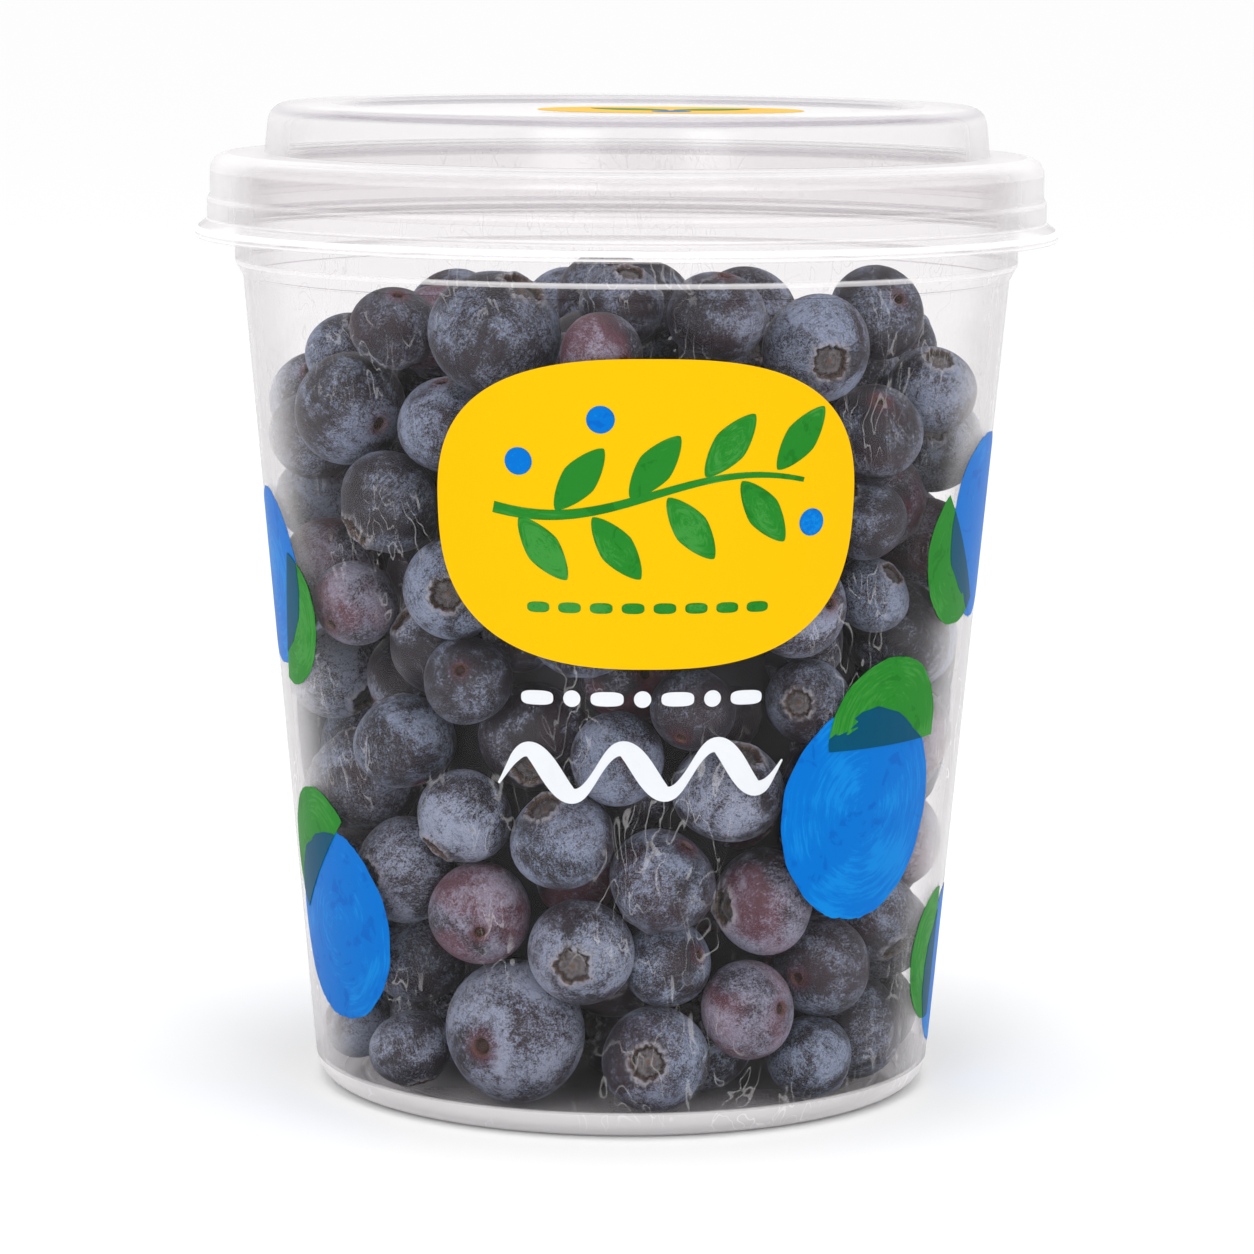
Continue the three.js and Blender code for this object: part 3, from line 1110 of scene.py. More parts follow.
@dataclass
class BerryForm:
    """The form of a berry with a radius of 1: flattened, with a lobed crown and a stem scar.

    The rings near an end are given in shares of the radius of its crown or of its scar, and far is the
    share of all that lies away from that end. A pair is a least value and what is added to it at random.
    """

    ring_sides: int = 50
    belt_rings: int = 13
    crown_rings: Sequence[float] = (0.16, 0.5, 0.78, 0.9, 0.97, 1.03, 1.10, 1.20, 1.36, 1.62, 2.0)
    scar_rings: Sequence[float] = (4.0, 2.6, 1.9, 1.5, 1.22, 1.05, 0.93, 0.7, 0.35)
    crown_radius: float = 0.325
    scar_radius: float = 0.115
    far: float = 9.0
    belt_share: float = 3.0
    loose_width: float = 0.8
    five_lobed: float = 0.8
    lobe_reach: Point2 = (0.05, 0.08)
    crown_depth: Point2 = (0.085, 0.06)
    rim_curl: Point2 = (0.030, 0.022)
    flatness: Point2 = (0.87, 0.07)
    width: Point2 = (0.97, 0.05)
    lumps: int = 3
    lump_height: Point2 = (0.006, 0.010)

    def _mesh_angles(self, lobes: np.ndarray) -> tuple[np.ndarray, np.ndarray, np.ndarray]:
        """Where the vertices are, from pole to pole.

        Args:
            lobes: How far the crown's edge wanders at each side of a ring, in shares of its radius.

        Returns:
            The angle from the crown's pole, and the shares of the crown's and of the scar's radius.
        """
        rows, crowns, scars = [], [], []
        for share in self.crown_rings:
            loose = max(0.0, min(1.0, (self.crown_rings[-1] - share) / self.loose_width))
            rows.append(np.arcsin(share * self.crown_radius * (1 + lobes * loose)))
            crowns.append(share)
            scars.append(self.far)
        start = math.asin(self.crown_rings[-1] * self.crown_radius)
        end = math.pi - math.asin(self.scar_rings[0] * self.scar_radius)
        for i in range(self.belt_rings):
            angle = start + (end - start) * (i + 1) / (self.belt_rings + 1)
            rows.append(np.full(self.ring_sides, angle))
            crowns.append(self.belt_share if angle < math.pi / 2 else self.far)
            scars.append(self.far)
        for share in self.scar_rings:
            rows.append(np.full(self.ring_sides, math.pi - math.asin(share * self.scar_radius)))
            crowns.append(self.far)
            scars.append(share)
        theta = np.concatenate([[0.0], *rows, [math.pi]])
        crown = np.concatenate([[0.0], np.repeat(crowns, self.ring_sides), [self.far]])
        scar = np.concatenate([[self.far], np.repeat(scars, self.ring_sides), [0.0]])
        return theta, crown, scar

    def points(self, draw: Draw) -> tuple[np.ndarray, np.ndarray, np.ndarray]:
        """One berry's vertices.

        Args:
            draw: Where its unevenness comes from.

        Returns:
            The vertices, the same points on a plain ball, and their shares of the two ends' radii.
        """
        angle = np.arange(self.ring_sides) * 2 * math.pi / self.ring_sides
        lobes = 5 if draw() < self.five_lobed else 4
        turn = (lobes * angle / (2 * math.pi)) % 1.0
        point = 1.0 - np.abs(2.0 * turn - 1.0)
        teeth = np.cos(11 * angle + 6.0 * draw()) * 0.06 + np.cos(17 * angle + 6.0 * draw()) * 0.05
        uneven = np.cos(angle + 6.0 * draw()) * 0.06
        reach = draw.within(*self.lobe_reach)
        edge = reach * (2.0 * point**1.4 - 0.8) + teeth + uneven
        theta, crown, scar = self._mesh_angles(edge)
        rows = len(self.crown_rings) + self.belt_rings + len(self.scar_rings)
        phi = np.concatenate([[0.0], np.tile(angle, rows), [0.0]])
        lobe = np.concatenate([[0.0], np.tile(point, rows), [0.0]])
        ball = np.stack([np.sin(theta) * np.cos(phi), np.sin(theta) * np.sin(phi), np.cos(theta)], 1)

        deep = draw.within(*self.crown_depth)
        curl = draw.within(*self.rim_curl)
        basin = deep * self._hollow(crown, 0.93, 0.045)
        rim = curl * (0.55 + 0.75 * lobe) * self._ridge(crown, 1.09, 0.13)
        slope = 0.020 * self._ridge(crown, 1.2, 0.5)
        nub = 0.022 * self._ridge(crown, 0.0, 0.22)
        pit = 0.10 * self._hollow(scar, 0.95, 0.10)
        sunk = 0.040 * self._ridge(scar, 0.0, 3.2)
        collar = 0.016 * self._ridge(scar, 1.45, 0.28)
        points = ball.copy()
        points[:, 2] *= draw.within(*self.flatness)
        points[:, 2] += rim + slope + nub - basin + pit + sunk - collar
        points[:, 0] *= draw.within(*self.width)
        lumps = np.zeros(len(ball))
        for _ in range(self.lumps):
            towards = np.array(draw.direction())
            lumps += draw.within(*self.lump_height) * np.cos(3.1 * (ball @ towards) + 6.0 * draw())
        ends = np.stack([crown, scar, np.zeros(len(crown))], 1)
        return points * (1.0 + lumps - 0.012)[:, None], ball, ends

    @staticmethod
    def _hollow(share: np.ndarray, edge: float, softness: float) -> np.ndarray:
        """1 well inside an edge and 0 well outside it."""
        return 1.0 / (1.0 + np.exp((share - edge) / softness))

    @staticmethod
    def _ridge(share: np.ndarray, middle: float, width: float) -> np.ndarray:
        """1 at a middle, falling to 0 on both of its sides."""
        return np.exp(-(((share - middle) / width) ** 2))

    def faces(self) -> np.ndarray:
        """The faces that join the vertices, as triangles."""
        sides = self.ring_sides
        count = len(self.crown_rings) + self.belt_rings + len(self.scar_rings)
        here = np.arange(sides)
        after = (here + 1) % sides
        last = 1 + count * sides
        faces = [np.stack([np.zeros(sides, int), 1 + here, 1 + after], 1)]
        for ring in range(count - 1):
            low = 1 + ring * sides
            high = low + sides
            faces.append(np.stack([low + here, high + here, high + after], 1))
            faces.append(np.stack([low + here, high + after, low + after], 1))
        end = 1 + (count - 1) * sides
        faces.append(np.stack([np.full(sides, last), end + after, end + here], 1))
        return np.concatenate(faces)


PLAINER = BerryForm(22, 7, (0.5, 0.9, 1.06, 1.3, 2.0), (3.6, 1.7, 1.05, 0.8))


@dataclass
class Heap:
    """All the berries, a near and a deep piece for each kind, over a near-black core that paints the shade
    inside the heap.

    Berries that lie deeper than near_depth are made plainer and given less of their pale bloom, which
    paints them darker as shade, and those deeper than seen_depth are left out.
    """

    tub: Tub
    near_depth: float = 5.0
    seen_depth: float = 17.0
    # How much less pale bloom the deep berries get: painted shade.
    painted_shade_loss: float = 0.30
    core_inset: float = 15.0
    core_low: float = 13.0
    core_high: float = 92.0
    core_bevel: float = 5.0
    core_sides: int = 48
    seed_factor: int = 31
    seed_start: int = 5
    own_shift: float = 0.37

    def build(self) -> list[bpy.types.Object]:
        """Makes the berries and their core."""
        settling = Settling(self.tub)
        berries = [(self._depth(b, settling), b) for b in settling.settle()]
        near = [b for depth, b in berries if depth < self.near_depth]
        deep = [b for depth, b in berries if self.near_depth <= depth < self.seen_depth]
        pieces = []
        for kind in Kind:
            name = f"berries_{kind.name.lower()}"
            skin = kind.value
            # Painted shade: the deep berries get a darker copy of their skin, with less pale bloom.
            level = skin.bloom_level - self.painted_shade_loss
            painted_shade_skin = replace(skin, name=f"{skin.name}_deep", bloom_level=level)
            rows = ((name, BerryForm(), near, skin), (f"{name}_deep", PLAINER, deep, painted_shade_skin))
            for own_name, form, group, finish in rows:
                own = [b for b in group if b.kind is kind]
                pieces.append(self._joined(own_name, form, own, finish.material()))
        pieces.append(self._core(settling))
        for piece in pieces:
            stand_for(piece, "blueberry_heap")
        LOG.info("heap: %d berries near, %d deep", len(near), len(deep))
        return pieces

    def _depth(self, berry: Berry, settling: Settling) -> float:
        """How far a berry lies from the nearest of the wall, the heap's surface and the floor."""
        x, y, z = berry.centre
        to_wall = settling.inside_radius(z) - math.hypot(x, y) - berry.radius
        to_top = settling.surface_height(x, y) - z
        to_floor = z - berry.radius - self.tub.floor_top()
        return min(to_wall, to_top, to_floor)

    def _joined(
        self, name: str, form: BerryForm, berries: list[Berry], finish: bpy.types.Material
    ) -> bpy.types.Object:
        """Joins berries into one piece.

        Args:
            name: The piece's name.
            form: How finely the berries are made.
            berries: The berries.
            finish: Their finish.

        Returns:
            The new object.
        """
        draw = Draw(len(berries) * self.seed_factor + self.seed_start)
        base = form.faces()
        points, places, ends, tones, faces = [], [], [], [], []
        for i, berry in enumerate(berries):
            own, ball, shares = form.points(draw)
            aim = Vector((0.0, 0.0, 1.0)).rotation_difference(berry.crown).to_matrix()
            aim = aim @ Matrix.Rotation(draw.angle(), 3, "Z")
            placed = own @ np.array(aim).T * berry.radius + np.array(berry.centre)
            points.append(placed * MM)
            places.append(ball + i * self.own_shift)
            ends.append(shares)
            tones.append(np.tile([draw(), draw(), draw()], (len(ball), 1)))
            faces.append(base + i * len(ball))
        piece = mesh_piece(name, np.concatenate(points), np.concatenate(faces), finish)
        store_vectors(piece, "own_place", np.concatenate(places))
        store_vectors(piece, "own_end", np.concatenate(ends))
        store_vectors(piece, "own_tone", np.concatenate(tones))
        return piece

    def _core(self, settling: Settling) -> bpy.types.Object:
        """Makes the near-black core, painted shade for the heap's inside."""
        low = settling.inside_radius(self.core_low) - self.core_inset
        high = settling.inside_radius(self.core_high) - self.core_inset
        bevel = self.core_bevel
        outline = [
            (0.0, self.core_low),
            (low - bevel, self.core_low),
            (low, self.core_low + bevel),
            (high, self.core_high - bevel),
            (high - bevel, self.core_high),
            (0.0, self.core_high + bevel),
        ]
        stops = [Stop(Vector(spot)) for spot in outline]
        return revolved("heap_core", stops, self.core_sides, [PaintedShadeFill("heap_shade").material()])


# The print


class Tint(Enum):
    """The inks of the print."""

    YELLOW = Ink("ink_yellow", (0.80, 0.445, 0.001), (0.82, 0.46, 0.002), (0.78, 0.42, 0.001), 0.08)
    BLUE = Ink("ink_blue", (0.001, 0.142, 0.52), (0.004, 0.205, 0.60), (0.001, 0.100, 0.44), 0.9)
    GREEN = Ink("ink_green", (0.017, 0.190, 0.019), (0.050, 0.260, 0.045), (0.009, 0.135, 0.012), 0.75)
    TEAL = Ink("ink_overlap", (0.001, 0.064, 0.126), (0.001, 0.078, 0.145), (0.001, 0.052, 0.108), 0.5)
    WHITE = Ink("ink_white", (0.67, 0.69, 0.72), (0.71, 0.73, 0.76), (0.62, 0.64, 0.69), 0.3)


@dataclass(frozen=True)
class Layer:
    """How far a layer of ink stands off the sheet and how thick it is, in millimetres."""

    gap: float
    thickness: float = 0.03


LOWER = Layer(0.02)
UPPER = Layer(0.07)
OVERPRINT = Layer(0.12)

WANDERINGS = (2, 3, 5, 9, 17)
WANDERING_FALL = 0.25
BRISTLES = (31, 53, 83)
BRISTLE_SHARE = 0.5
FRAY_SHARE = 0.28
HALF_CUT = -0.06
HALF_BOW = 0.02
STROKE_SHIFT = 13.7


def round_outline(
    width: float, height: float, power: float = 2.0, rough: float = 0.0, seed: int = 1, sides: int = 96
) -> list[Point2]:
    """A round or squarish shape.

    Args:
        width: Its full width, in millimetres.
        height: Its full height.
        power: 2 for an ellipse, less for pointed ends, more for squarer sides.
        rough: How far its edge wanders and frays, as a brush leaves it.
        seed: Which way it wanders.
        sides: How many points it has.

    Returns:
        The points of its edge, anticlockwise.
    """
    draw = Draw(seed)
    waves = [(n, draw.angle(), draw()) for n in WANDERINGS]
    teeth = [(n, draw.angle(), BRISTLE_SHARE) for n in BRISTLES]
    frayed = draw.angle()
    points = []
    for i in range(sides):
        angle = 2 * math.pi * i / sides
        c, s = math.cos(angle), math.sin(angle)
        size = (abs(c) ** power + abs(s) ** power) ** (-1 / power)
        wander = sum(math.sin(n * angle + at) * share / (1 + WANDERING_FALL * n) for n, at, share in waves)
        fray = sum(math.sin(n * angle + at) * share for n, at, share in teeth)
        fray *= max(0.0, math.sin(2 * angle + frayed)) ** 2
        size *= 1 + rough * (wander + FRAY_SHARE * fray)
        points.append((size * c * width / 2, size * s * height / 2))
    return points


def half_outline(width: float, lean: float, rough: float, seed: int) -> list[Point2]:
    """A half disc with soft corners.

    Args:
        width: Its straight side, in millimetres.
        lean: How far it is turned, in degrees.
        rough: How far its edge wanders.
        seed: Which way it wanders.

    Returns:
        The points of its edge, anticlockwise.
    """
    turn = math.radians(lean)
    points = []
    for x, y in round_outline(width, width, 2.0, rough, seed, 160):
        y = max(y, HALF_CUT * width + HALF_BOW * x * x / width)
        points.append((x * math.cos(turn) - y * math.sin(turn), x * math.sin(turn) + y * math.cos(turn)))
    return points


def shared_area(shape: list[Point2], other: list[Point2]) -> list[Point2]:
    """The part of a shape that lies inside another one.

    Args:
        shape: Points of an edge, anticlockwise.
        other: Points of an edge without hollows, anticlockwise.

    Returns:
        The edge of the part that both cover, or an empty list.
    """
    result = shape
    for (ax, ay), (bx, by) in zip(other, other[1:] + other[:1]):
        kept = []
        for (px, py), (qx, qy) in zip(result, result[1:] + result[:1]):
            here = (bx - ax) * (py - ay) - (by - ay) * (px - ax)
            there = (bx - ax) * (qy - ay) - (by - ay) * (qx - ax)
            if here >= 0:
                kept.append((px, py))
            if here * there < 0:
                share = here / (here - there)
                kept.append((px + (qx - px) * share, py + (qy - py) * share))
        result = kept
        if len(result) < 3:
            return []
    return result


@dataclass
class Shape:
    """A flat shape of ink: its points, faces and rim, in millimetres, and how the brush ran over it.

    strokes says for each point how far across the strokes it lies and where along them, and inward how
    far it lies from the rim.
    """

    points: list[Point2]
    faces: list[tuple]
    rim: list[int]
    strokes: list[Point3]
    inward: list[float]

    def moved(self, x: float, y: float) -> "Shape":
        """The shape moved sideways and up."""
        return replace(self, points=[(px + x, py + y) for px, py in self.points])

    def turned(self, degrees: float) -> "Shape":
        """The shape turned about its own origin."""
        c, s = math.cos(math.radians(degrees)), math.sin(math.radians(degrees))
        return replace(self, points=[(x * c - y * s, x * s + y * c) for x, y in self.points])


def filled(outline: list[Point2], step: float = 1.9) -> Shape:
    """Fills an outline with faces small enough to follow a round wall.

    Args:
        outline: The points of its edge, anticlockwise.
        step: The most that two rings of faces lie apart, in millimetres.

    Returns:
        The filled shape, with strokes that run round its middle.
    """
    sides = len(outline)
    cx = sum(x for x, _ in outline) / sides
    cy = sum(y for _, y in outline) / sides
    rays = [(x - cx, y - cy, math.hypot(x - cx, y - cy)) for x, y in outline]
    size = max(away for _, _, away in rays)
    rings = max(3, math.ceil(size / step))
    points, strokes, inward = [(cx, cy)], [(0.0, 0.0, 0.0)], [size]
    for ring in range(1, rings + 1):
        share = ring / rings
        for x, y, away in rays:
            points.append((cx + x * share, cy + y * share))
            strokes.append((share * size, x / away, y / away))
            inward.append((1 - share) * away)
    faces = [(0, 1 + i, 1 + (i + 1) % sides) for i in range(sides)]
    for ring in range(rings - 1):
        low = 1 + ring * sides
        high = low + sides
        for i in range(sides):
            j = (i + 1) % sides
            faces.append((low + i, high + i, high + j, low + j))
    rim = [1 + (rings - 1) * sides + i for i in range(sides)]
    return Shape(points, faces, rim, strokes, inward)


def ribbon(line: Sequence[Point3]) -> Shape:
    """A stroke of changing width.

    Args:
        line: The points that it follows: x, y and the stroke's width there.

    Returns:
        The shape, with strokes that run along it.
    """
    points, strokes, inward, faces = [], [], [], []
    last = len(line) - 1
    for i, (x, y, width) in enumerate(line):
        before, after = line[max(i - 1, 0)], line[min(i + 1, last)]
        run = Vector((after[0] - before[0], after[1] - before[1])).normalized()
        for side in (-0.5, 0.0, 0.5):
            points.append((x - run.y * width * side, y + run.x * width * side))
            strokes.append((side * width, i * 0.1, 0.0))
            inward.append((0.5 - abs(side)) * width)
    for i in range(last):
        for low in (3 * i, 3 * i + 1):
            faces.append((low, low + 3, low + 4, low + 1))
    forth = [3 * i for i in range(last + 1)]
    back = [3 * i + 2 for i in range(last, -1, -1)]
    return Shape(points, faces, [*forth, 3 * last + 1, *back, 1], strokes, inward)


def on_wall(tub: Tub, turn: float, height: float) -> Placing:
    """Lays flat points on the tub's wall.

    Args:
        tub: The tub.
        turn: The angle of the shape's origin round the tub from the front, in degrees.
        height: The origin's height, in millimetres.

    Returns:
        What takes a flat point and its distance off the wall to its place.
    """
    radius = tub.wall_radius(height)

    def place(x: float, y: float, out: float) -> Point3:
        """A flat point's place."""
        angle = math.radians(turn) + x / radius
        reach = tub.wall_radius(height + y) + out
        return (reach * math.sin(angle), -reach * math.cos(angle), height + y)

    return place


def on_panel(lid: Lid, across: float, back: float) -> Placing:
    """Lays flat points on the lid's sunk panel.

    Args:
        lid: The lid.
        across: How far the shape's origin lies to the right of the lid's middle, in millimetres.
        back: How far it lies behind the middle.

    Returns:
        What takes a flat point and its distance off the panel to its place.
    """

    def place(x: float, y: float, out: float) -> Point3:
        """A flat point's place."""
        return (across + x, back + y, lid.panel_top + out)

    return place


@dataclass
class Print:
    """Patches of ink on a sheet, joined by their ink into thin solids."""

    name: str
    slot: str
    patches: list[tuple] = field(default_factory=list)

    def lay(self, tint: Tint, shape: Shape, layer: Layer, place: Placing) -> None:
        """Lays a shape on the sheet.

        Args:
            tint: Its ink.
            shape: The flat shape.
            layer: Which layer of ink it is.
            place: Takes the shape's points to the sheet.
        """
        self.patches.append((tint, shape, layer, place))

    def build(self) -> list[bpy.types.Object]:
        """Makes one piece for each ink that is used."""
        pieces = []
        for tint in Tint:
            own = [patch[1:] for patch in self.patches if patch[0] is tint]
            if own:
                pieces.append(self._joined(f"{self.name}_{tint.name.lower()}", own, tint.value))
        return pieces

    def _joined(self, name: str, patches: list[tuple], ink: Ink) -> bpy.types.Object:
        """Joins patches of one ink into one piece, with hard edges round each patch."""
        points, strokes, rims, faces, hard = [], [], [], [], set()
        for i, (shape, layer, place) in enumerate(patches):
            start = len(points)
            count = len(shape.points)
            for out in (layer.gap + layer.thickness, layer.gap):
                points += [tuple(MM * n for n in place(x, y, out)) for x, y in shape.points]
                strokes += [(a + STROKE_SHIFT * i, b, c) for a, b, c in shape.strokes]
                rims += [(away, 0.0, 0.0) for away in shape.inward]
            faces += [tuple(start + v for v in face) for face in shape.faces]
            faces += [tuple(start + count + v for v in reversed(face)) for face in shape.faces]
            for a, b in zip(shape.rim, shape.rim[1:] + shape.rim[:1]):
                faces.append((start + a, start + count + a, start + count + b, start + b))
                hard.add(frozenset((start + a, start + b)))
                hard.add(frozenset((start + count + a, start + count + b)))
        piece = mesh_piece(name, points, faces, ink.material())
        edges = piece.data.edges
        edges.foreach_set("use_edge_sharp", [frozenset(edge.vertices) in hard for edge in edges])
        store_vectors(piece, "own_stroke", np.array(strokes))
        store_vectors(piece, "own_rim", np.array(rims))
        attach(piece, BODY)
        LOG.info("%s: %d faces in %d patches", piece.name, len(piece.data.polygons), len(patches))
        return piece


@dataclass(frozen=True)
class Disc:
    """A blue disc on the wall, with a green half disc over its edge.

    turn is its angle round the tub from the front in degrees, and height that of its middle. leaf_at says
    in degrees where on its edge the half disc lies, and leaf_size how large that is.
    """

    turn: float
    height: float
    size: float
    seed: int
    leaf_at: float
    leaf_size: float


DISCS = (
    Disc(-60, 25.0, 25.0, 1, 115, 12.0),
    Disc(44, 43.0, 28.0, 2, 70, 13.0),
    Disc(76, 79.0, 24.0, 3, 200, 12.0),
    Disc(-77, 71.0, 23.0, 4, -35, 11.0),
    Disc(84, 17.0, 21.0, 5, 160, 11.0),
    Disc(118, 48.0, 27.0, 6, 110, 12.0),
    Disc(150, 84.0, 25.0, 7, -20, 12.0),
    Disc(-118, 46.0, 28.0, 8, 60, 13.0),
    Disc(-158, 22.0, 25.0, 9, 160, 12.0),
    Disc(-160, 88.0, 22.0, 10, -120, 11.0),
)


@dataclass
class WallPrint:
    """The print round the tub: a yellow panel, a white wave, and blue discs under green half discs.

    Sizes are in millimetres and angles in degrees. Places are from the middle of the panel or the wave.
    A pitch is how far apart like things are. The half discs' sizes and places are in shares of the disc's
    size, or of its leaf_size for their width.
    """

    tub: Tub
    panel_turn: float = 3.8
    panel_height: float = 84.0
    panel_size: Point2 = (57.0, 40.5)
    sprig_reach: float = 20.5
    sprig_rise: float = 2.5
    sprig_bow: float = 2.6
    sprig_bends: float = 2.4
    stem_steps: int = 40
    stem_width: float = 1.5
    stem_taper: float = 0.022
    leaf_size: Point2 = (10.2, 4.6)
    leaf_point: float = 1.45
    leaf_lean: float = 52.0
    leaf_gap: float = 0.9
    leaf_first: float = -0.86
    leaf_pitch: float = 0.235
    leaves: int = 8
    dot_places: Sequence[Point2] = ((-17.0, 6.8), (-6.4, 12.4), (22.0, -1.4))
    dot_size: float = 3.6
    dash_size: Point2 = (3.0, 1.4)
    dash_start: Point2 = (-14.7, -12.2)
    dash_pitch: float = 4.2
    dashes: int = 8
    wave_turn: float = 3.0
    wave_height: float = 49.6
    wave_length: float = 38.0
    wave_steps: int = 120
    wave_swings: float = 6.2
    wave_start: float = 0.5
    wave_crest: float = 3.1
    wave_climb: float = 1.2
    wave_width: float = 2.05
    wave_swell: float = 0.95
    wave_tip: float = 0.25
    wave_taper: float = 12
    mark_dash: Point2 = (4.2, 1.9)
    mark_dot: float = 2.2
    mark_start: Point2 = (-13.5, 10.2)
    mark_pitch: float = 4.5
    marks: int = 7
    disc_stretch: float = 1.06
    disc_rough: float = 0.03
    half_out: float = 0.37
    half_width: float = 1.65
    half_turn: float = 70
    half_rough: float = 0.02
    half_seed: int = 20

    def build(self) -> list[bpy.types.Object]:
        """Makes the whole print."""
        ink = Print("print", "tub_plastic")
        self._panel(ink)
        self._wave(ink)
        self._discs(ink)
        return ink.build()

    def _stem(self, share: float) -> Point2:
        """The middle line of the sprig, from -1 at its foot to 1 at its tip."""
        return self.sprig_reach * share, self.sprig_bow * math.sin(self.sprig_bends * share)

    def _panel(self, ink: Print) -> None:
        """The yellow panel in front, with a plain green sprig, blue dots and a row of dashes."""
        place = on_wall(self.tub, self.panel_turn, self.panel_height)
        ink.lay(Tint.YELLOW, filled(round_outline(*self.panel_size, 2.6, sides=200)), LOWER, place)
        line = []
        for i in range(self.stem_steps + 1):
            x, y = self._stem(2 * i / self.stem_steps - 1)
            line.append((x, y + self.sprig_rise, self.stem_width - self.stem_taper * i))
        ink.lay(Tint.GREEN, ribbon(line), UPPER, place)
        leaf = filled(round_outline(*self.leaf_size, self.leaf_point, sides=60), 1.2)
        for i in range(self.leaves):
            x, y = self._stem(self.leaf_first + self.leaf_pitch * i)
            side = 1 if i % 2 else -1
            lean = math.radians(side * self.leaf_lean)
            away = 0.5 * self.leaf_size[0] + self.leaf_gap
            spot = (x + away * math.cos(lean), y + self.sprig_rise + away * math.sin(lean))
            ink.lay(Tint.GREEN, leaf.turned(side * self.leaf_lean).moved(*spot), UPPER, place)
        dot = filled(round_outline(self.dot_size, self.dot_size, sides=40), 1.0)
        for spot in self.dot_places:
            ink.lay(Tint.BLUE, dot.moved(*spot), UPPER, place)
        dash = filled(round_outline(*self.dash_size, 3.0, sides=40), 0.8)
        for i in range(self.dashes):
            spot = (self.dash_start[0] + self.dash_pitch * i, self.dash_start[1])
            ink.lay(Tint.GREEN, dash.moved(*spot), UPPER, place)

    def _wave(self, ink: Print) -> None:
        """A bold white wave, as a brush draws it, under a row of dots and dashes."""
        place = on_wall(self.tub, self.wave_turn, self.wave_height)
        line = []
        for i in range(self.wave_steps + 1):
            share = i / self.wave_steps
            phase = share * self.wave_swings * math.pi - self.wave_start
            width = self.wave_width - self.wave_swell * math.cos(phase)
            from_end = min(share, 1 - share)
            width *= min(1.0, self.wave_tip + self.wave_taper * from_end)
            height = self.wave_crest * math.sin(phase) + self.wave_climb * share
            line.append((self.wave_length * share - self.wave_length / 2, height, width))
        ink.lay(Tint.WHITE, ribbon(line), LOWER, place)
        dash = filled(round_outline(*self.mark_dash, 3.2, sides=40), 1.0)
        dot = filled(round_outline(self.mark_dot, self.mark_dot, sides=40), 1.0)
        for i in range(self.marks):
            spot = (self.mark_start[0] + self.mark_pitch * i, self.mark_start[1])
            ink.lay(Tint.WHITE, (dot if i % 2 else dash).moved(*spot), LOWER, place)

    def _discs(self, ink: Print) -> None:
        """Blue discs round the tub, each with a green half disc over its edge."""
        for disc in DISCS:
            place = on_wall(self.tub, disc.turn, disc.height)
            height = disc.size * self.disc_stretch
            edge = round_outline(disc.size, height, 2.0, self.disc_rough, disc.seed, 240)
            ink.lay(Tint.BLUE, filled(edge), LOWER, place)
            away = math.radians(disc.leaf_at)
            out = disc.size * self.half_out
            width, lean = disc.leaf_size * self.half_width, disc.leaf_at - self.half_turn
            half = half_outline(width, lean, self.half_rough, disc.seed + self.half_seed)
            leaf = [(px + out * math.cos(away), py + out * math.sin(away)) for px, py in half]
            ink.lay(Tint.GREEN, filled(leaf), UPPER, place)
            both = shared_area(leaf, edge)
            if both:
                ink.lay(Tint.TEAL, filled(both), OVERPRINT, place)


@dataclass
class LidPrint:
    """The print on top of the lid: a yellow oval with two green leaves and a blue dot."""

    lid: Lid
    across: float = 6.0
    back: float = 10.0
    size: Point2 = (37.0, 27.0)
    leaf_size: Point2 = (13.0, 6.2)
    leaf_leans: Point2 = (35, 145)
    leaf_away: float = 7.0
    leaf_drop: float = 2.5
    dot_size: float = 5.4
    dot_drop: float = 6.5

    def build(self) -> list[bpy.types.Object]:
        """Makes the print."""
        ink = Print("lid_print", "lid_plastic")
        place = on_panel(self.lid, self.across, self.back)
        ink.lay(Tint.YELLOW, filled(round_outline(*self.size, 2.3, sides=160)), LOWER, place)
        leaf = filled(round_outline(*self.leaf_size, 1.45, sides=80), 1.2)
        for lean in self.leaf_leans:
            away = math.radians(lean)
            spot = (self.leaf_away * math.cos(away), self.leaf_away * math.sin(away) - self.leaf_drop)
            ink.lay(Tint.GREEN, leaf.turned(lean).moved(*spot), UPPER, place)
        dot = filled(round_outline(self.dot_size, self.dot_size, sides=60), 1.2)
        ink.lay(Tint.BLUE, dot.moved(0.0, -self.dot_drop), UPPER, place)
        return ink.build()


# The studio


SENSOR_WIDTH = 36.0
LAMP_AIM = (0.0, 0.0, 0.07)


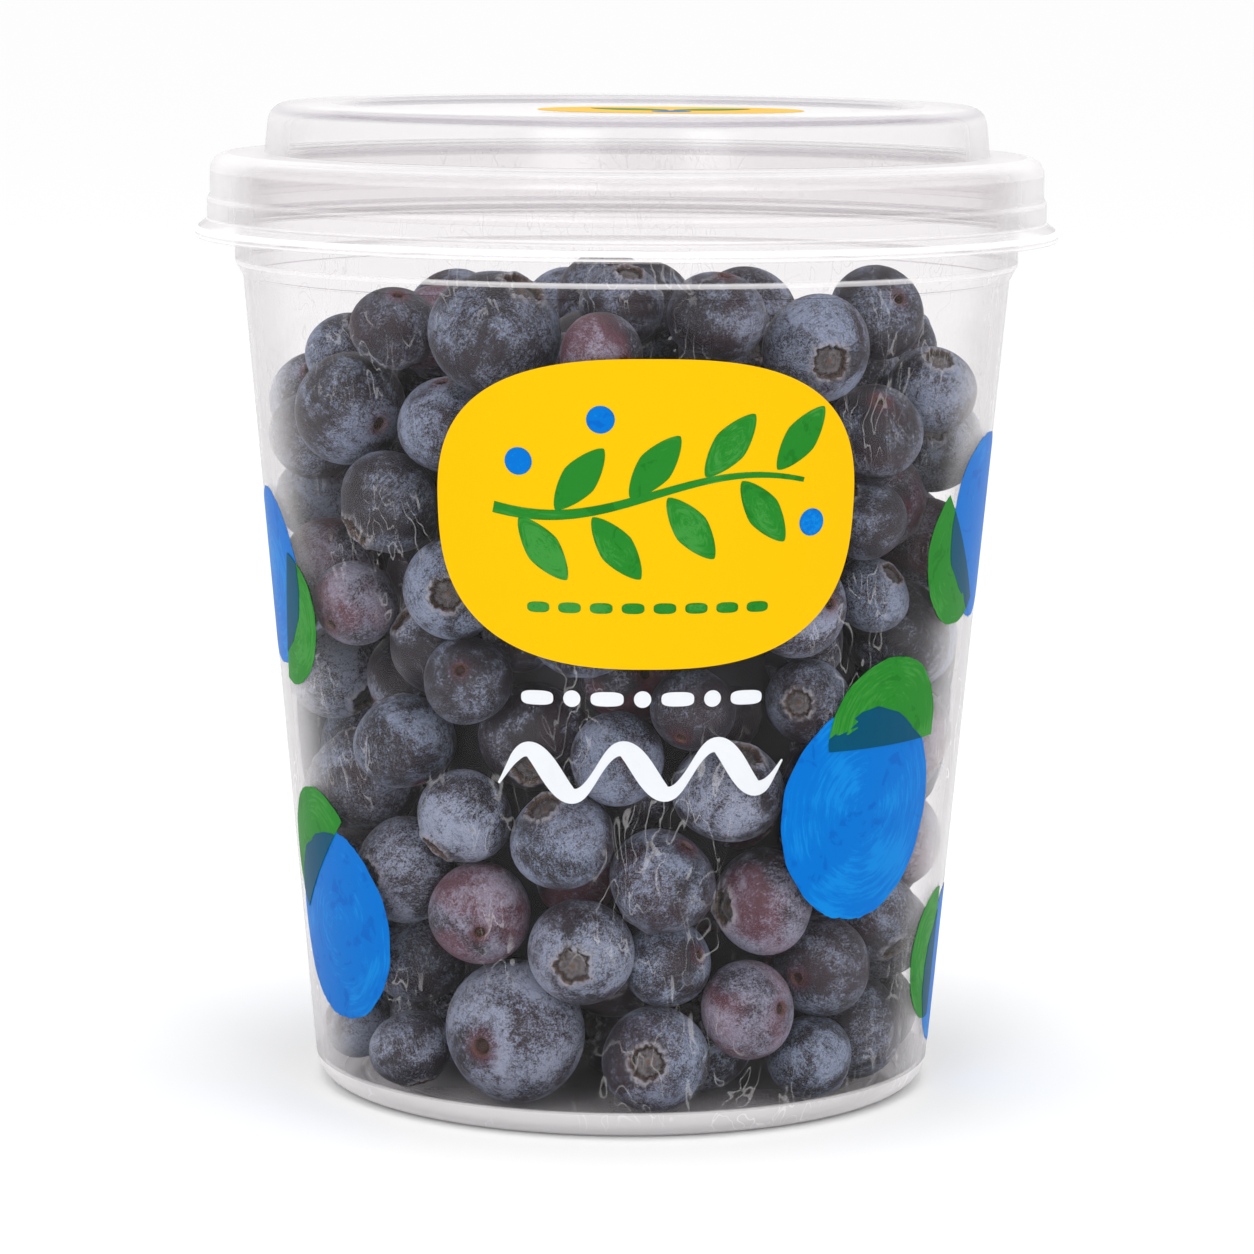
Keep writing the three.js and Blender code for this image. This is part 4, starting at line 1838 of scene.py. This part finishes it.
@dataclass
class Studio:
    """The camera, the pale floor and the soft lights, in metres, with angles in degrees."""

    camera_distance: float = 0.687
    camera_height: float = 0.1566
    camera_side: float = 0.00042
    tilt: float = 7.78
    roll: float = 0.4
    lens: float = 143.5
    floor_radius: float = 40.0
    sky: float = 1.035

    def build(self) -> None:
        """Sets the whole studio up."""
        self._camera()
        self._floor()
        self._world()
        self._lamp("lamp_top", (0.0, -0.15, 1.05), (0.55, 0.35), 3.4)
        self._lamp("lamp_left", (-0.42, -1.25, 0.62), (0.50, 0.75), 3.2)
        self._lamp("lamp_right", (0.56, -1.20, 0.60), (0.34, 0.70), 3.0)
        self._light_paths()

    @staticmethod
    def _light_paths() -> None:
        """Shows colours as they are, and sets how often light may bounce and pass through sheets."""
        scene = bpy.context.scene
        scene.view_settings.view_transform = "Standard"
        scene.cycles.max_bounces = 4
        scene.cycles.diffuse_bounces = 2
        scene.cycles.glossy_bounces = 1
        scene.cycles.transparent_max_bounces = 32
        scene.cycles.caustics_reflective = False

    def _camera(self) -> None:
        """Puts the camera at the photograph's angle."""
        data = bpy.data.cameras.new("camera")
        data.lens = self.lens
        data.sensor_width = SENSOR_WIDTH
        camera = bpy.data.objects.new("camera", data)
        bpy.context.scene.collection.objects.link(camera)
        camera.location = (self.camera_side, -self.camera_distance, self.camera_height)
        aim = Matrix.Rotation(math.radians(90.0 - self.tilt), 4, "X")
        camera.rotation_euler = (aim @ Matrix.Rotation(math.radians(self.roll), 4, "Z")).to_euler()
        bpy.context.scene.camera = camera

    def _floor(self) -> None:
        """Lays the pale floor."""
        r = self.floor_radius
        corners = [(-r, -r, 0.0), (r, -r, 0.0), (r, r, 0.0), (-r, r, 0.0)]
        floor = mesh_piece("floor", corners, [(0, 1, 2, 3)], Paper("floor_paper").material())

    def _world(self) -> None:
        """Lights the studio evenly from all round."""
        world = bpy.data.worlds.new("studio")
        world.use_nodes = True
        sky = world.node_tree.nodes["Background"]
        sky.inputs["Color"].default_value = (1.0, 1.0, 1.0, 1.0)
        sky.inputs["Strength"].default_value = self.sky
        bpy.context.scene.world = world

    @staticmethod
    def _lamp(name: str, place: Point3, size: Point2, radiance: float) -> None:
        """Hangs a soft box that looks at the tub.

        Args:
            name: The lamp's name.
            place: Where it hangs.
            size: Its width and height, in metres.
            radiance: How bright its face is.
        """
        data = bpy.data.lights.new(name, "AREA")
        data.shape = "RECTANGLE"
        data.size, data.size_y = size
        data.energy = radiance * math.pi * size[0] * size[1]
        lamp = bpy.data.objects.new(name, data)
        bpy.context.scene.collection.objects.link(lamp)
        lamp.location = place
        aim = Vector(LAMP_AIM) - Vector(place)
        lamp.rotation_euler = aim.to_track_quat("-Z", "Y").to_euler()


def corners(box: Iterable) -> list[list[float]]:
    """A box's two corners as plain lists of numbers."""
    return [[float(n) for n in corner] for corner in box]


def main() -> None:
    """Builds the punnet and its studio."""
    logging.basicConfig(level=logging.INFO, format="%(message)s")
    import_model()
    Studio().build()
    tub = Tub()
    tub.build()
    lid = Lid()
    lid.build()
    Heap(tub).build()
    WallPrint(tub).build()
    LidPrint(lid).build()
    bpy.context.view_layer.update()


if __name__ == "__main__":
    main()
